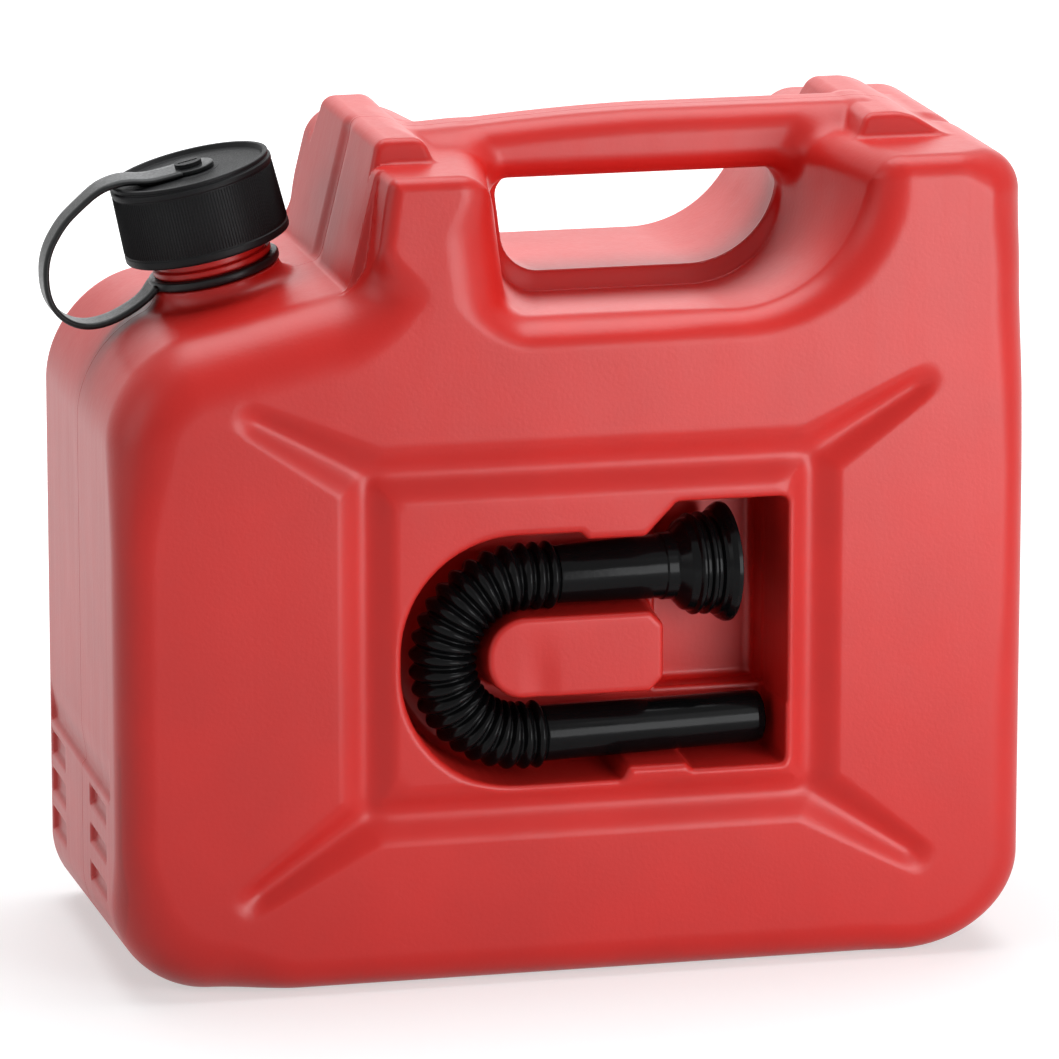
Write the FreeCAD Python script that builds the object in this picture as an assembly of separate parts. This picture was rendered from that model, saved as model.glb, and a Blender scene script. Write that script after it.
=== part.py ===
"""Ten litre blow-moulded fuel canister with screw cap, tether and stored pouring spout.

Millimetres, +Z up. The origin is the middle of the base, on the surface that the canister stands on.
+X runs along the canister away from the cap, and the spout compartment faces -Y.
"""
import FreeCAD, Part
import os
from math import cos, pi, radians, sin, sqrt, tan

V = FreeCAD.Vector

# Container: overall shell
container_length = 350.0
container_width = 165.0
wall = 2.4
edge_round = 12.0
base_corner_round = 42.0
base_corner_round_rear = 38.0
shoulder_slope_deg = 13.4
shoulder_round = 42.0
tower_foot_from_end = 93.0
tower_foot_z = 265.0
tower_foot_round = 15.0
tower_top_z = 310.0
tower_side_lean = 11.0
tower_top_round = 13.5
rear_top_round = 24.0

# Container: hand gap between the towers, and the handle over it
saddle_z = 254.0
saddle_crown = 3.0
front_tower_length = 70.0
rear_tower_length = 76.0
gap_flare_left = 15.0
gap_flare_right = 13.0
gap_round_left = 13.0
gap_round_right = 30.0
gap_round_right_flare = 12.0
handle_underside_drop = 16.0
handle_height = 23.5
handle_width = 34.0
handle_round = 10.0

# Container: stacking blocks on the towers
block_half_width = 49.0
block_round = 3.5
block_least_round = 0.8
front_block_from_foot = 22.0
front_block_length = 16.0
front_block_rise = 8.5
rear_block_from_end = 42.0
rear_block_length = 19.0
rear_block_rise = 10.0

# Container: frame of grooves on both broad faces
frame_left_of_compartment = 12.7
frame_right_of_compartment = 9.7
frame_under_compartment = 8.5
frame_over_compartment = 16.0
groove_width = 18.0
groove_floor_width = 5.0
groove_depth = 5.0
ray_tip_width = 6.0
ray_tip_depth = 1.2
ray_reach_left = 48.0
ray_reach_right = 47.0
ray_rise_high = 27.0
ray_rise_low = 32.0

# Container: grip pads moulded into the narrow front end
pad_depth = 2.0
pad_slot_length = 128.0
pad_slot_height = 19.0
pad_slot_z = 83.0
pad_length = 34.0
pad_height = 9.5
pad_pitch = 15.8
pad_top_z = 66.0
pad_rows = 3
pad_spread = 45.0
pad_centre_y = 5.0

# Container: threaded neck, square to the sloping shoulder
neck_from_end = 55.0
neck_bore_radius = 20.4
neck_root_radius = 24.6
neck_foot = 9.0
neck_bore_foot = 17.0
tether_seat_step = 1.5
collar_step = 1.9
collar_height = 5.2
bead_step = 1.5
bead_height = 2.4
thread_pitch = 5.0
thread_turns = 2.0
thread_depth = 1.6
thread_base_width = 2.4
thread_crest_width = 1.2
thread_low = 25.0
thread_root_sink = 0.5
thread_clearance = 0.4

# Cap, gasket and tether
cap_low = 17.6
cap_wall = 5.1
cap_side_taper = 0.7
cap_height = 29.0
cap_top_thickness = 2.6
cap_edge_round = 1.6
gasket_thickness = 2.3
gasket_inner_radius = 16.5
pin_radius = 2.45
pin_running_clearance = 0.05
pin_head_radius = 5.2
pin_head_height = 1.6
pin_barb_radius = 3.4
pin_barb_height = 2.0
pin_slot_width = 1.4
small_clearance = 0.3
overshoot = 1.0
strap_width = 8.0
strap_thickness = 1.6
strap_eye_radius = 8.5
strap_bottom_beyond_neck = 45.5
strap_left_beyond_end = 13.6
strap_bottom_below_neck = 15.7
strap_rise_at_back = 4.0
strap_reach_past_cap = 24.0
tether_ring_width = 3.6
tether_ring_thickness = 2.6
tether_ring_play = 0.8
strap_low_round = 14.0
strap_back_round = 17.0
strap_high_round = 19.0

# Spout compartment
room_left_of_hose = 5.2
room_right_of_pipe = 4.7
room_over_hose = 6.3
room_over_bell = 5.9
room_under_hose = 3.5
room_under_pipe = 2.8
room_under_bell = 5.0
room_behind_spout = 2.0
compartment_round_high = 44.0
compartment_round_low = 46.0
compartment_corner_round = 3.0
lug_corner_round = 1.0
bell_step_run = 12.0
bell_pocket_before_cone = 3.5
lug_length = 22.0
upper_lug_x = 15.0
lower_lug_x = 31.0
lug_drop = 2.8
island_left_gap = 2.6
island_low_gap = 4.5
island_right_x = 33.5
island_round_left = 14.5
island_chamfer = 5.0
island_corner_round = 2.0
island_sink = 2.5

# Spout: bell connector, corrugated hose and outlet pipe
spout_behind_face = 17.5
spout_yaw_deg = 5.0
upper_arm_z = 153.8
lower_arm_z = 92.4
hose_bend_x = -19.0
hose_upper_end_x = -5.9
hose_lower_end_x = -10.9
hose_crest_radius = 12.9
hose_root_radius = 10.6
spigot_wall = 1.4
hose_rib_count = 23
rib_root_share = 0.20
rib_crest_share = 0.24
spigot_radius = 9.0
spigot_clearance = 0.05
tube_wall = 1.85
tube_flare = 1.3
sleeve_x = 36.0
sleeve_step = 0.5
bell_cone_x = 41.5
bell_body_x = 46.0
bell_body_radius = 17.4
bell_end_x = 66.0
bell_flange_radius = 22.8
bell_flange_thickness = 3.0
bell_wall = 2.2
seal_ring_count = 3
seal_ring_pitch = 5.1
seal_ring_first_x = 51.0
seal_ring_width = 2.2
seal_ring_height = 1.3
pipe_end_x = 76.3
pipe_wall = 1.55
pipe_taper = 0.8
pipe_end_round = 1.5

# Sizes that follow from the ones above
half_length = container_length / 2
half_width = container_width / 2
slope = tan(radians(shoulder_slope_deg))
tower_foot_x = tower_foot_from_end - half_length
gap_left_middle_x = tower_foot_x + front_tower_length
gap_right_middle_x = half_length - rear_tower_length
handle_underside_z = tower_top_z - handle_underside_drop
front_block_x = tower_foot_x + front_block_from_foot
rear_block_x = half_length - rear_block_from_end
neck_x = neck_from_end - half_length
spout_y = spout_behind_face - half_width
neck_surface_z = tower_foot_z + (neck_x - tower_foot_x) * slope
neck_place = FreeCAD.Placement(
    V(neck_x, 0, neck_surface_z), FreeCAD.Rotation(V(0, 1, 0), -shoulder_slope_deg)
)
tether_seat_radius = neck_root_radius + tether_seat_step
collar_radius = tether_seat_radius + collar_step
bead_radius = tether_seat_radius + bead_step
bead_low = collar_height + tether_ring_thickness + tether_ring_play
cap_bore_radius = neck_root_radius + thread_depth + thread_clearance
cap_radius_low = cap_bore_radius + cap_wall
cap_radius_high = cap_radius_low - cap_side_taper
cap_top = cap_low + cap_height
cap_inner_top = cap_top - cap_top_thickness
neck_rim_height = cap_inner_top - gasket_thickness - small_clearance
eye_low = cap_top + small_clearance
hose_bend_radius = (upper_arm_z - lower_arm_z) / 2
hose_bend_z = (upper_arm_z + lower_arm_z) / 2
hose_straight = 2 * hose_crest_radius
hose_bore_radius = spigot_radius - spigot_wall
spigot_end_x = hose_bend_x + hose_straight
socket_radius = spigot_radius + spigot_clearance
tube_radius_hose = socket_radius + tube_wall
tube_radius_bell = tube_radius_hose + tube_flare
pipe_radius_hose = socket_radius + pipe_wall
pipe_radius_end = pipe_radius_hose - pipe_taper
spout_yaw_shift = sin(radians(spout_yaw_deg))
hose_floor_y = spout_y + hose_crest_radius + hose_straight * spout_yaw_shift + room_behind_spout
bell_centre_y = spout_y + bell_end_x * spout_yaw_shift
bell_floor_y = bell_centre_y + bell_flange_radius + small_clearance
compartment_left_x = hose_bend_x - hose_bend_radius - hose_crest_radius - room_left_of_hose
compartment_right_x = pipe_end_x + room_right_of_pipe
compartment_high_z = upper_arm_z + hose_crest_radius + room_over_hose
compartment_bell_z = upper_arm_z + bell_flange_radius + room_over_bell
compartment_low_z = lower_arm_z - hose_crest_radius - room_under_hose
compartment_pipe_z = lower_arm_z - pipe_radius_hose - room_under_pipe
bell_pocket_x = bell_cone_x - bell_pocket_before_cone
bell_pocket_low_z = upper_arm_z - bell_flange_radius - room_under_bell
frame_left_x = compartment_left_x - frame_left_of_compartment
frame_right_x = compartment_right_x + frame_right_of_compartment
frame_low_z = compartment_low_z - frame_under_compartment
frame_high_z = compartment_bell_z + frame_over_compartment
island_left_x = hose_bend_x - hose_bend_radius + hose_crest_radius + island_left_gap
island_high_z = upper_arm_z - hose_crest_radius - small_clearance
island_low_z = lower_arm_z + hose_crest_radius + island_low_gap


def front_plane(x, z, y=0.0):
    """A point of an outline that is drawn in the X-Z plane."""
    return V(x, y, z)


def end_plane(y, z, x=0.0):
    """A point of an outline that is drawn in the Y-Z plane."""
    return V(x, y, z)


def rounded_edges(corners, place, closed):
    """Edges through corners (a, b, radius): straight lines joined by tangent arcs."""
    points = [place(a, b) for a, b, radius in corners]
    count = len(corners)
    edges = []
    last = None
    first = None
    for i in range(count):
        here = points[i]
        radius = corners[i][2]
        is_end = not closed and i in (0, count - 1)
        if radius == 0 or is_end:
            arrive = leave = here
            arc = None
        else:
            inward = (here - points[i - 1]).normalize()
            outward = (points[(i + 1) % count] - here).normalize()
            turn = inward.getAngle(outward)
            back = radius * tan(turn / 2)
            arrive = here - inward * back
            leave = here + outward * back
            bisector = (outward - inward).normalize()
            centre = here + bisector * (radius / cos(turn / 2))
            arc = Part.Arc(arrive, centre - bisector * radius, leave).toShape()
        if last is not None and last.distanceToPoint(arrive) > 1e-6:
            edges.append(Part.LineSegment(last, arrive).toShape())
        if arc is not None:
            edges.append(arc)
        first = first or arrive
        last = leave
    if closed and last.distanceToPoint(first) > 1e-6:
        edges.append(Part.LineSegment(last, first).toShape())
    return edges


def outline(corners, place=front_plane):
    return Part.Wire(Part.__sortEdges__(rounded_edges(corners, place, True)))


def grown(wire, amount):
    """The same outline, moved outward by amount, or inward where it is negative."""
    if amount == 0:
        return wire
    return wire.makeOffset2D(amount)


def slab(wire, y_low, y_high):
    """Solid between two Y planes with an X-Z outline."""
    face = Part.Face(wire)
    face.translate(V(0, y_low, 0))
    return face.extrude(V(0, y_high - y_low, 0))


def block(x_low, x_high, y_low, y_high, z_low, z_high):
    return Part.makeBox(x_high - x_low, y_high - y_low, z_high - z_low, V(x_low, y_low, z_low))


def turned(profile):
    """Solid of revolution about X through (X, radius) points, closed along the axis."""
    points = [V(x, 0, r) for x, r in profile]
    points = [V(profile[0][0], 0, 0)] + points + [V(profile[-1][0], 0, 0)]
    face = Part.Face(Part.makePolygon(points + [points[0]]))
    return face.revolve(V(0, 0, 0), V(1, 0, 0), 360)


def side_outline():
    """Side view of the container, towers included, before the hand gap is cut."""
    shoulder_z = tower_foot_z + (-half_length - tower_foot_x) * slope
    return outline([
        (-half_length, 0, base_corner_round),
        (-half_length, shoulder_z, shoulder_round),
        (tower_foot_x, tower_foot_z, tower_foot_round),
        (tower_foot_x + tower_side_lean, tower_top_z, tower_top_round),
        (half_length, tower_top_z, rear_top_round),
        (half_length, 0, base_corner_round_rear),
    ])


def shell_block(inset):
    """Whole outer form, or the form of the hollow inside it when inset is the wall."""
    y = half_width - inset
    solid = slab(grown(side_outline(), -inset), -y, y)
    rims = []
    for edge in solid.Edges:
        box = edge.BoundBox
        if box.YLength < 1e-6 and abs(abs(box.YMin) - y) < 1e-6:
            rims.append(edge)
    return solid.makeFillet(edge_round - inset, rims)


def gap_outline(y, flare):
    """Section of the hand gap: flare is 0 in the middle and 1 at the broad faces."""
    left = gap_left_middle_x - gap_flare_left * flare
    right = gap_right_middle_x + gap_flare_right * flare
    floor = saddle_z + saddle_crown * (1 - flare)
    top = tower_top_z + 2 * handle_height
    wire = outline([
        (left, top, 0),
        (left, floor, gap_round_left),
        (right, floor, gap_round_right + gap_round_right_flare * flare),
        (right, top, 0),
    ])
    return wire, y


def hand_gap(margin):
    """Space between the towers, wider towards the broad faces."""
    halves = []
    for side in (-1, 1):
        sections = []
        for flare in (0, 1):
            wire, y = gap_outline(side * flare * (half_width + wall), flare)
            section = grown(wire, margin)
            section.translate(V(0, y, 0))
            sections.append(section)
        halves.append(Part.makeLoft(sections, True, True))
    return halves[0].fuse(halves[1])


def handle_bar(inset):
    """Rounded bar that joins the towers and runs on as a rib to both stacking blocks."""
    y = handle_width / 2
    top = handle_underside_z + handle_height
    section = outline([
        (-y, handle_underside_z, handle_round),
        (y, handle_underside_z, handle_round),
        (y, top, handle_round),
        (-y, top, handle_round),
    ], end_plane)
    section = grown(section, -inset)
    start = front_block_x + inset
    face = Part.Face(section)
    face.translate(V(start, 0, 0))
    return face.extrude(V(rear_block_x - inset - start, 0, 0))


def stacking_block(x, length, rise, inset):
    low = tower_top_z - edge_round
    top = tower_top_z + rise
    box = block(
        x - length / 2 + inset, x + length / 2 - inset,
        -block_half_width + inset, block_half_width - inset,
        low, top - inset,
    )
    rounded = []
    for edge in box.Edges:
        if edge.BoundBox.ZMax > top - inset - 1e-6:
            rounded.append(edge)
    return box.makeFillet(max(block_round - inset, block_least_round), rounded)


def tapered_frame(outer, inner, y_face, y_floor, narrowing):
    """Ring-shaped groove: outer and inner are (x low, x high, z low, z high) at the face."""
    def frustum(box, change):
        x0, x1, z0, z1 = box
        wires = []
        for y, shift in ((y_face, 0.0), (y_floor, change)):
            wires.append(Part.makePolygon([
                V(x0 + shift, y, z0 + shift), V(x1 - shift, y, z0 + shift),
                V(x1 - shift, y, z1 - shift), V(x0 + shift, y, z1 - shift),
                V(x0 + shift, y, z0 + shift),
            ]))
        return Part.makeLoft(wires, True, True)
    return frustum(outer, narrowing).cut(frustum(inner, -narrowing))


def groove_frame(side, margin):
    """Rectangular groove on one broad face, seen as a frame round the panel."""
    half = groove_width / 2 + margin
    narrowing = (groove_width - groove_floor_width) / 2
    outer = (frame_left_x - half, frame_right_x + half, frame_low_z - half, frame_high_z + half)
    inner = (frame_left_x + half, frame_right_x - half, frame_low_z + half, frame_high_z - half)
    face = side * (half_width - margin)
    floor = side * (half_width - groove_depth - margin)
    return tapered_frame(outer, inner, face, floor, narrowing)


def ray(x, z, dx, dz, side, margin):
    """Groove that runs out from one corner of the frame and fades at its tip."""
    length = sqrt(dx * dx + dz * dz)
    across = V(-dz / length, 0, dx / length)
    wires = []
    for share, width, depth in (
        (0.0, groove_width, groove_depth), (1.0, ray_tip_width, ray_tip_depth)
    ):
        middle = V(x + dx * share, 0, z + dz * share)
        half = width / 2 + margin
        floor_half = half * groove_floor_width / groove_width
        face = V(0, side * (half_width - margin), 0)
        floor = V(0, side * (half_width - depth - margin), 0)
        corners = [
            middle + face - across * half, middle + floor - across * floor_half,
            middle + floor + across * floor_half, middle + face + across * half,
        ]
        wires.append(Part.makePolygon(corners + [corners[0]]))
    return Part.makeLoft(wires, True, True)


def groove_rays(side, margin):
    rays = []
    for x, reach in ((frame_left_x, -ray_reach_left), (frame_right_x, ray_reach_right)):
        rays.append(ray(x, frame_high_z, reach, ray_rise_high, side, margin))
        rays.append(ray(x, frame_low_z, reach, -ray_rise_low, side, margin))
    return rays


def end_pads(margin):
    """Shallow slot and six finger pads on the narrow front end."""
    pads = []
    depth = pad_depth
    x_low = -half_length + margin - overshoot
    x_high = -half_length + depth + margin

    def pad(y, z, length, height):
        half_y = length / 2 + margin
        half_z = height / 2 + margin
        pads.append(block(x_low, x_high, y - half_y, y + half_y, z - half_z, z + half_z))

    pad(pad_centre_y, pad_slot_z, pad_slot_length, pad_slot_height)
    for side in (-1, 1):
        for row in range(pad_rows):
            pad(pad_centre_y + side * pad_spread, pad_top_z - row * pad_pitch, pad_length, pad_height)
    return pads


def compartment_outline():
    """Edge of the spout compartment, with a small lug above and below the spout."""
    r = compartment_corner_round
    up0 = upper_lug_x - lug_length / 2
    up1 = upper_lug_x + lug_length / 2
    low0 = lower_lug_x - lug_length / 2
    low1 = lower_lug_x + lug_length / 2
    lug_z = compartment_high_z - lug_drop
    lower_lug_z = lower_arm_z - pipe_radius_hose - small_clearance
    return outline([
        (compartment_left_x, compartment_low_z, compartment_round_low),
        (compartment_left_x, compartment_high_z, compartment_round_high),
        (up0 - lug_drop, compartment_high_z, lug_corner_round),
        (up0, lug_z, lug_corner_round),
        (up1, lug_z, lug_corner_round),
        (up1 + bell_step_run, compartment_bell_z, r),
        (compartment_right_x, compartment_bell_z, r),
        (compartment_right_x, compartment_pipe_z, r),
        (low1 + lug_drop, compartment_pipe_z, lug_corner_round),
        (low1, lower_lug_z, lug_corner_round),
        (low0, lower_lug_z, lug_corner_round),
        (low0 - lug_drop, compartment_low_z, lug_corner_round),
    ])


def island_outline():
    """Raised island inside the bend of the hose."""
    c = island_chamfer
    return outline([
        (island_left_x, island_low_z, island_round_left),
        (island_left_x, island_high_z, island_round_left),
        (island_right_x - c, island_high_z, island_corner_round),
        (island_right_x, island_high_z - c, island_corner_round),
        (island_right_x, island_low_z + c, island_corner_round),
        (island_right_x - c, island_low_z, island_corner_round),
    ])


def compartment(margin):
    """Space taken out of the container for the spout, island left standing."""
    face = -half_width - overshoot
    hollow = slab(grown(compartment_outline(), margin), face, hose_floor_y + margin)
    deep = block(
        bell_pocket_x - margin, compartment_right_x + margin,
        hose_floor_y - wall, bell_floor_y + margin,
        bell_pocket_low_z - margin, compartment_bell_z + margin,
    )
    hollow = hollow.fuse(deep)
    island_face = -half_width + island_sink + margin
    island = slab(grown(island_outline(), -margin), island_face, bell_floor_y + margin)
    return hollow.cut(island)


def helix_ridge(radius, height, low, turns, inward, phase):
    """Thread ridge that stands out of a wall of this radius, or inward from it."""
    path = Part.makeHelix(thread_pitch, thread_pitch * turns, radius)
    sign = -1 if inward else 1
    root = radius - sign * thread_root_sink
    crest = radius + sign * height
    corners = [
        V(root, 0, -thread_base_width / 2), V(crest, 0, -thread_crest_width / 2),
        V(crest, 0, thread_crest_width / 2), V(root, 0, thread_base_width / 2),
    ]
    profile = Part.makePolygon(corners + [corners[0]])
    ridge = Part.Wire(path).makePipeShell([profile], True, True)
    ridge.rotate(V(0, 0, 0), V(0, 0, 1), phase)
    ridge.translate(V(0, 0, low))
    return ridge


def cylinder(radius, low, high):
    return Part.makeCylinder(radius, high - low, V(0, 0, low))


def ring(outer, inner, low, high):
    return cylinder(outer, low, high).cut(cylinder(inner, low - overshoot, high + overshoot))


def neck_outside():
    """Neck in its own frame: collar, seat of the tether ring, bead and thread."""
    neck = cylinder(neck_root_radius, -neck_foot, neck_rim_height)
    neck = neck.fuse(cylinder(tether_seat_radius, -neck_foot, bead_low))
    neck = neck.fuse(cylinder(collar_radius, -neck_foot, collar_height))
    neck = neck.fuse(cylinder(bead_radius, bead_low, bead_low + bead_height))
    ridge = helix_ridge(neck_root_radius, thread_depth, thread_low, thread_turns, False, 0)
    return neck.fuse(ridge)


def in_neck_frame(shape):
    placed = shape.copy()
    placed.Placement = neck_place.multiply(placed.Placement)
    return placed


def container():
    outside = shell_block(0).cut(hand_gap(0))
    inside = shell_block(wall).cut(hand_gap(wall))
    outside = outside.fuse(handle_bar(0))
    inside = inside.fuse(handle_bar(wall))
    for x, length, rise in (
        (front_block_x, front_block_length, front_block_rise),
        (rear_block_x, rear_block_length, rear_block_rise),
    ):
        outside = outside.fuse(stacking_block(x, length, rise, 0))
        inside = inside.fuse(stacking_block(x, length, rise, wall))
    for side in (-1, 1):
        outside = outside.cut(groove_frame(side, 0))
        inside = inside.cut(groove_frame(side, wall))
        for groove in groove_rays(side, 0):
            outside = outside.cut(groove)
        for groove in groove_rays(side, wall):
            inside = inside.cut(groove)
    for pad in end_pads(0):
        outside = outside.cut(pad)
    for pad in end_pads(wall):
        inside = inside.cut(pad)
    outside = outside.cut(compartment(0))
    inside = inside.cut(compartment(wall))
    outside = outside.fuse(in_neck_frame(neck_outside()))
    bore = in_neck_frame(cylinder(neck_bore_radius, -neck_bore_foot, neck_rim_height + overshoot))
    print("inside volume, litres:", round(inside.Volume / 1e6, 2))
    return outside.cut(inside).cut(bore)


def screw_cap():
    side = Part.makeCone(cap_radius_low, cap_radius_high, cap_height, V(0, 0, cap_low))
    round_edges = []
    for edge in side.Edges:
        if edge.BoundBox.ZLength < 1e-6:
            round_edges.append(edge)
    cap = side.makeFillet(cap_edge_round, round_edges)
    cap = cap.cut(cylinder(cap_bore_radius, cap_low - overshoot, cap_inner_top))
    ridge_low = thread_low - thread_pitch / 2
    ridge = helix_ridge(cap_bore_radius, thread_depth, ridge_low, thread_turns, True, 0)
    cap = cap.fuse(ridge)
    hole_radius = pin_radius + pin_running_clearance
    hole = cylinder(hole_radius, cap_inner_top - overshoot, cap_top + overshoot)
    return in_neck_frame(cap.cut(hole))


def cap_gasket():
    low = cap_inner_top - gasket_thickness
    outer = cap_bore_radius - small_clearance
    return in_neck_frame(ring(outer, gasket_inner_radius, low, cap_inner_top))


def tether_pin():
    """Snap pin with a coin slot in its head and a barb under the cap's top."""
    barb_top = cap_inner_top - small_clearance
    head_low = eye_low + strap_thickness + small_clearance
    pin = cylinder(pin_radius, barb_top - pin_barb_height, head_low + pin_head_height)
    pin = pin.fuse(cylinder(pin_head_radius, head_low, head_low + pin_head_height))
    pin = pin.fuse(cylinder(pin_barb_radius, barb_top - pin_barb_height, barb_top))
    reach = pin_head_radius - pin_slot_width
    slot = block(
        -reach, reach, -pin_slot_width / 2, pin_slot_width / 2,
        head_low + pin_head_height / 2, head_low + 2 * pin_head_height,
    )
    return in_neck_frame(pin.cut(slot))


def strap_path():
    """Middle line of the strap in the X-Z plane, from the eye round to the neck ring."""
    eye = neck_place.multVec(V(-strap_eye_radius / 2, 0, eye_low + strap_thickness / 2))
    reach = cap_radius_high + strap_reach_past_cap
    rim = neck_place.multVec(V(-reach, 0, eye_low + strap_thickness / 2))
    ring_height = collar_height + small_clearance + strap_thickness / 2
    tab = neck_place.multVec(V(-tether_seat_radius - tether_ring_width / 2, 0, ring_height))
    left_x = -half_length - strap_left_beyond_end
    bottom_z = neck_surface_z - strap_bottom_below_neck
    return [
        (eye.x, eye.z, 0),
        (rim.x, rim.z, strap_high_round),
        (left_x, bottom_z + strap_rise_at_back, strap_back_round),
        (neck_x - strap_bottom_beyond_neck, bottom_z, strap_low_round),
        (tab.x, tab.z, 0),
    ]


def cap_tether():
    """Neck ring, flat strap and eye, moulded in one piece."""
    corners = strap_path()
    path = Part.Wire(Part.__sortEdges__(rounded_edges(corners, front_plane, False)))
    start = front_plane(corners[0][0], corners[0][1])
    along = (front_plane(corners[1][0], corners[1][1]) - start).normalize()
    up = along.cross(V(0, 1, 0))
    half_y = V(0, strap_width / 2, 0)
    half_t = up * (strap_thickness / 2)
    section = [start - half_y - half_t, start + half_y - half_t,
               start + half_y + half_t, start - half_y + half_t]
    strap = path.makePipeShell([Part.makePolygon(section + [section[0]])], True, False)
    seat = tether_seat_radius + small_clearance
    ring_low = collar_height + small_clearance
    neck_ring = ring(seat + tether_ring_width, seat, ring_low, ring_low + tether_ring_thickness)
    eye_top = eye_low + strap_thickness
    eye_hole = cylinder(pin_radius + small_clearance, eye_low - overshoot, eye_top + overshoot)
    eye = cylinder(strap_eye_radius, eye_low, eye_top)
    tether = strap.fuse(in_neck_frame(eye)).fuse(in_neck_frame(neck_ring))
    tether = tether.cut(in_neck_frame(cylinder(seat, ring_low - overshoot, bead_low + bead_height)))
    return tether.cut(in_neck_frame(eye_hole))


def place_spout(shape):
    """Move a spout piece from its own flat frame into the compartment."""
    placed = shape.copy()
    placed.rotate(V(0, 0, 0), V(0, 0, 1), spout_yaw_deg)
    placed.translate(V(0, spout_y, 0))
    return placed


def spout_connector():
    """Tapered tube and bell with sealing rings, turned about the upper arm."""
    profile = [
        (hose_upper_end_x, tube_radius_hose),
        (sleeve_x, tube_radius_bell),
        (sleeve_x, tube_radius_bell + sleeve_step),
        (bell_cone_x, tube_radius_bell + sleeve_step),
        (bell_body_x, bell_body_radius),
    ]
    half = seal_ring_width / 2
    for i in range(seal_ring_count):
        x = seal_ring_first_x + i * seal_ring_pitch
        profile += [
            (x - half, bell_body_radius), (x - half / 3, bell_body_radius + seal_ring_height),
            (x + half / 3, bell_body_radius + seal_ring_height), (x + half, bell_body_radius),
        ]
    flange_x = bell_end_x - bell_flange_thickness
    profile += [(flange_x, bell_flange_radius), (bell_end_x, bell_flange_radius)]
    body = turned(profile)
    bore = turned([
        (hose_upper_end_x - overshoot, socket_radius), (spigot_end_x + small_clearance, socket_radius),
        (spigot_end_x + small_clearance, hose_bore_radius), (bell_cone_x, hose_bore_radius),
        (bell_body_x + bell_wall, bell_body_radius - bell_wall),
        (bell_end_x + overshoot, bell_body_radius - bell_wall),
    ])
    piece = body.cut(bore)
    piece.translate(V(0, 0, upper_arm_z))
    return place_spout(piece)


def spout_pipe():
    """Outlet pipe with a rounded mouth."""
    body = turned([
        (hose_lower_end_x, pipe_radius_hose),
        (pipe_end_x - pipe_end_round, pipe_radius_end),
        (pipe_end_x, pipe_radius_end - pipe_end_round / 2),
    ])
    bore = turned([
        (hose_lower_end_x - overshoot, socket_radius), (spigot_end_x + small_clearance, socket_radius),
        (spigot_end_x + small_clearance, hose_bore_radius), (pipe_end_x + overshoot, hose_bore_radius),
    ])
    piece = body.cut(bore)
    piece.translate(V(0, 0, lower_arm_z))
    return place_spout(piece)


def hose_station(distance):
    """Point and direction on the hose's middle line, measured from the bell's end of the ribs."""
    upper = hose_upper_end_x - hose_bend_x
    bend = pi * hose_bend_radius
    if distance < upper:
        return V(hose_upper_end_x - distance, 0, upper_arm_z), V(-1, 0, 0)
    if distance < upper + bend:
        angle = pi / 2 + (distance - upper) / hose_bend_radius
        centre = V(hose_bend_x, 0, hose_bend_z)
        spoke = V(cos(angle), 0, sin(angle))
        return centre + spoke * hose_bend_radius, V(-sin(angle), 0, cos(angle))
    rest = distance - upper - bend
    return V(hose_bend_x + rest, 0, lower_arm_z), V(1, 0, 0)


def hose_circle(distance, radius):
    """Circle across the hose, its X axis always along Y so that the ribs don't twist."""
    point, direction = hose_station(distance)
    steady = V(0, 1, 0)
    turn = FreeCAD.Rotation(steady, direction.cross(steady), direction, "ZXY")
    circle = Part.makeCircle(radius)
    circle.Placement = FreeCAD.Placement(point, turn)
    return Part.Wire(circle)


def hose_bore():
    """Straight, half circle, straight: the free way through the hose."""
    start = spigot_end_x + overshoot
    path = Part.Wire([
        Part.LineSegment(V(start, 0, upper_arm_z), V(hose_bend_x, 0, upper_arm_z)).toShape(),
        Part.Arc(
            V(hose_bend_x, 0, upper_arm_z), V(hose_bend_x - hose_bend_radius, 0, hose_bend_z),
            V(hose_bend_x, 0, lower_arm_z),
        ).toShape(),
        Part.LineSegment(V(hose_bend_x, 0, lower_arm_z), V(start, 0, lower_arm_z)).toShape(),
    ])
    mouth = Part.Wire(Part.makeCircle(hose_bore_radius, V(start, 0, upper_arm_z), V(-1, 0, 0)))
    return path.makePipeShell([mouth], True, False)


def spout_hose():
    """Corrugated hose in a U, with a plain spigot at each end."""
    length = (hose_upper_end_x - hose_bend_x) + pi * hose_bend_radius
    length += hose_lower_end_x - hose_bend_x
    pitch = length / hose_rib_count
    circles = [hose_circle(0, hose_root_radius)]
    for i in range(hose_rib_count):
        for share, radius in (
            (rib_root_share / 2, hose_root_radius), ((1 - rib_crest_share) / 2, hose_crest_radius),
            ((1 + rib_crest_share) / 2, hose_crest_radius), (1 - rib_root_share / 2, hose_root_radius),
        ):
            circles.append(hose_circle((i + share) * pitch, radius))
    circles.append(hose_circle(length, hose_root_radius))
    ribbed = Part.makeLoft(circles, True, True)
    inside_pitch = pitch * (hose_bend_radius - hose_crest_radius) / hose_bend_radius
    least_gap = inside_pitch * (1 - rib_crest_share)
    print("least gap between hose ribs, mm:", round(least_gap, 2))
    for x, z in ((hose_upper_end_x, upper_arm_z), (hose_lower_end_x, lower_arm_z)):
        spigot = Part.makeCylinder(spigot_radius, spigot_end_x - x, V(x, 0, z), V(1, 0, 0))
        ribbed = ribbed.fuse(spigot)
    return place_spout(ribbed.cut(hose_bore()))


PIECES = {
    "container": container,
    "screw_cap": screw_cap,
    "cap_gasket": cap_gasket,
    "tether_pin": tether_pin,
    "cap_tether": cap_tether,
    "spout_connector": spout_connector,
    "spout_hose": spout_hose,
    "spout_pipe": spout_pipe,
}


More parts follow.
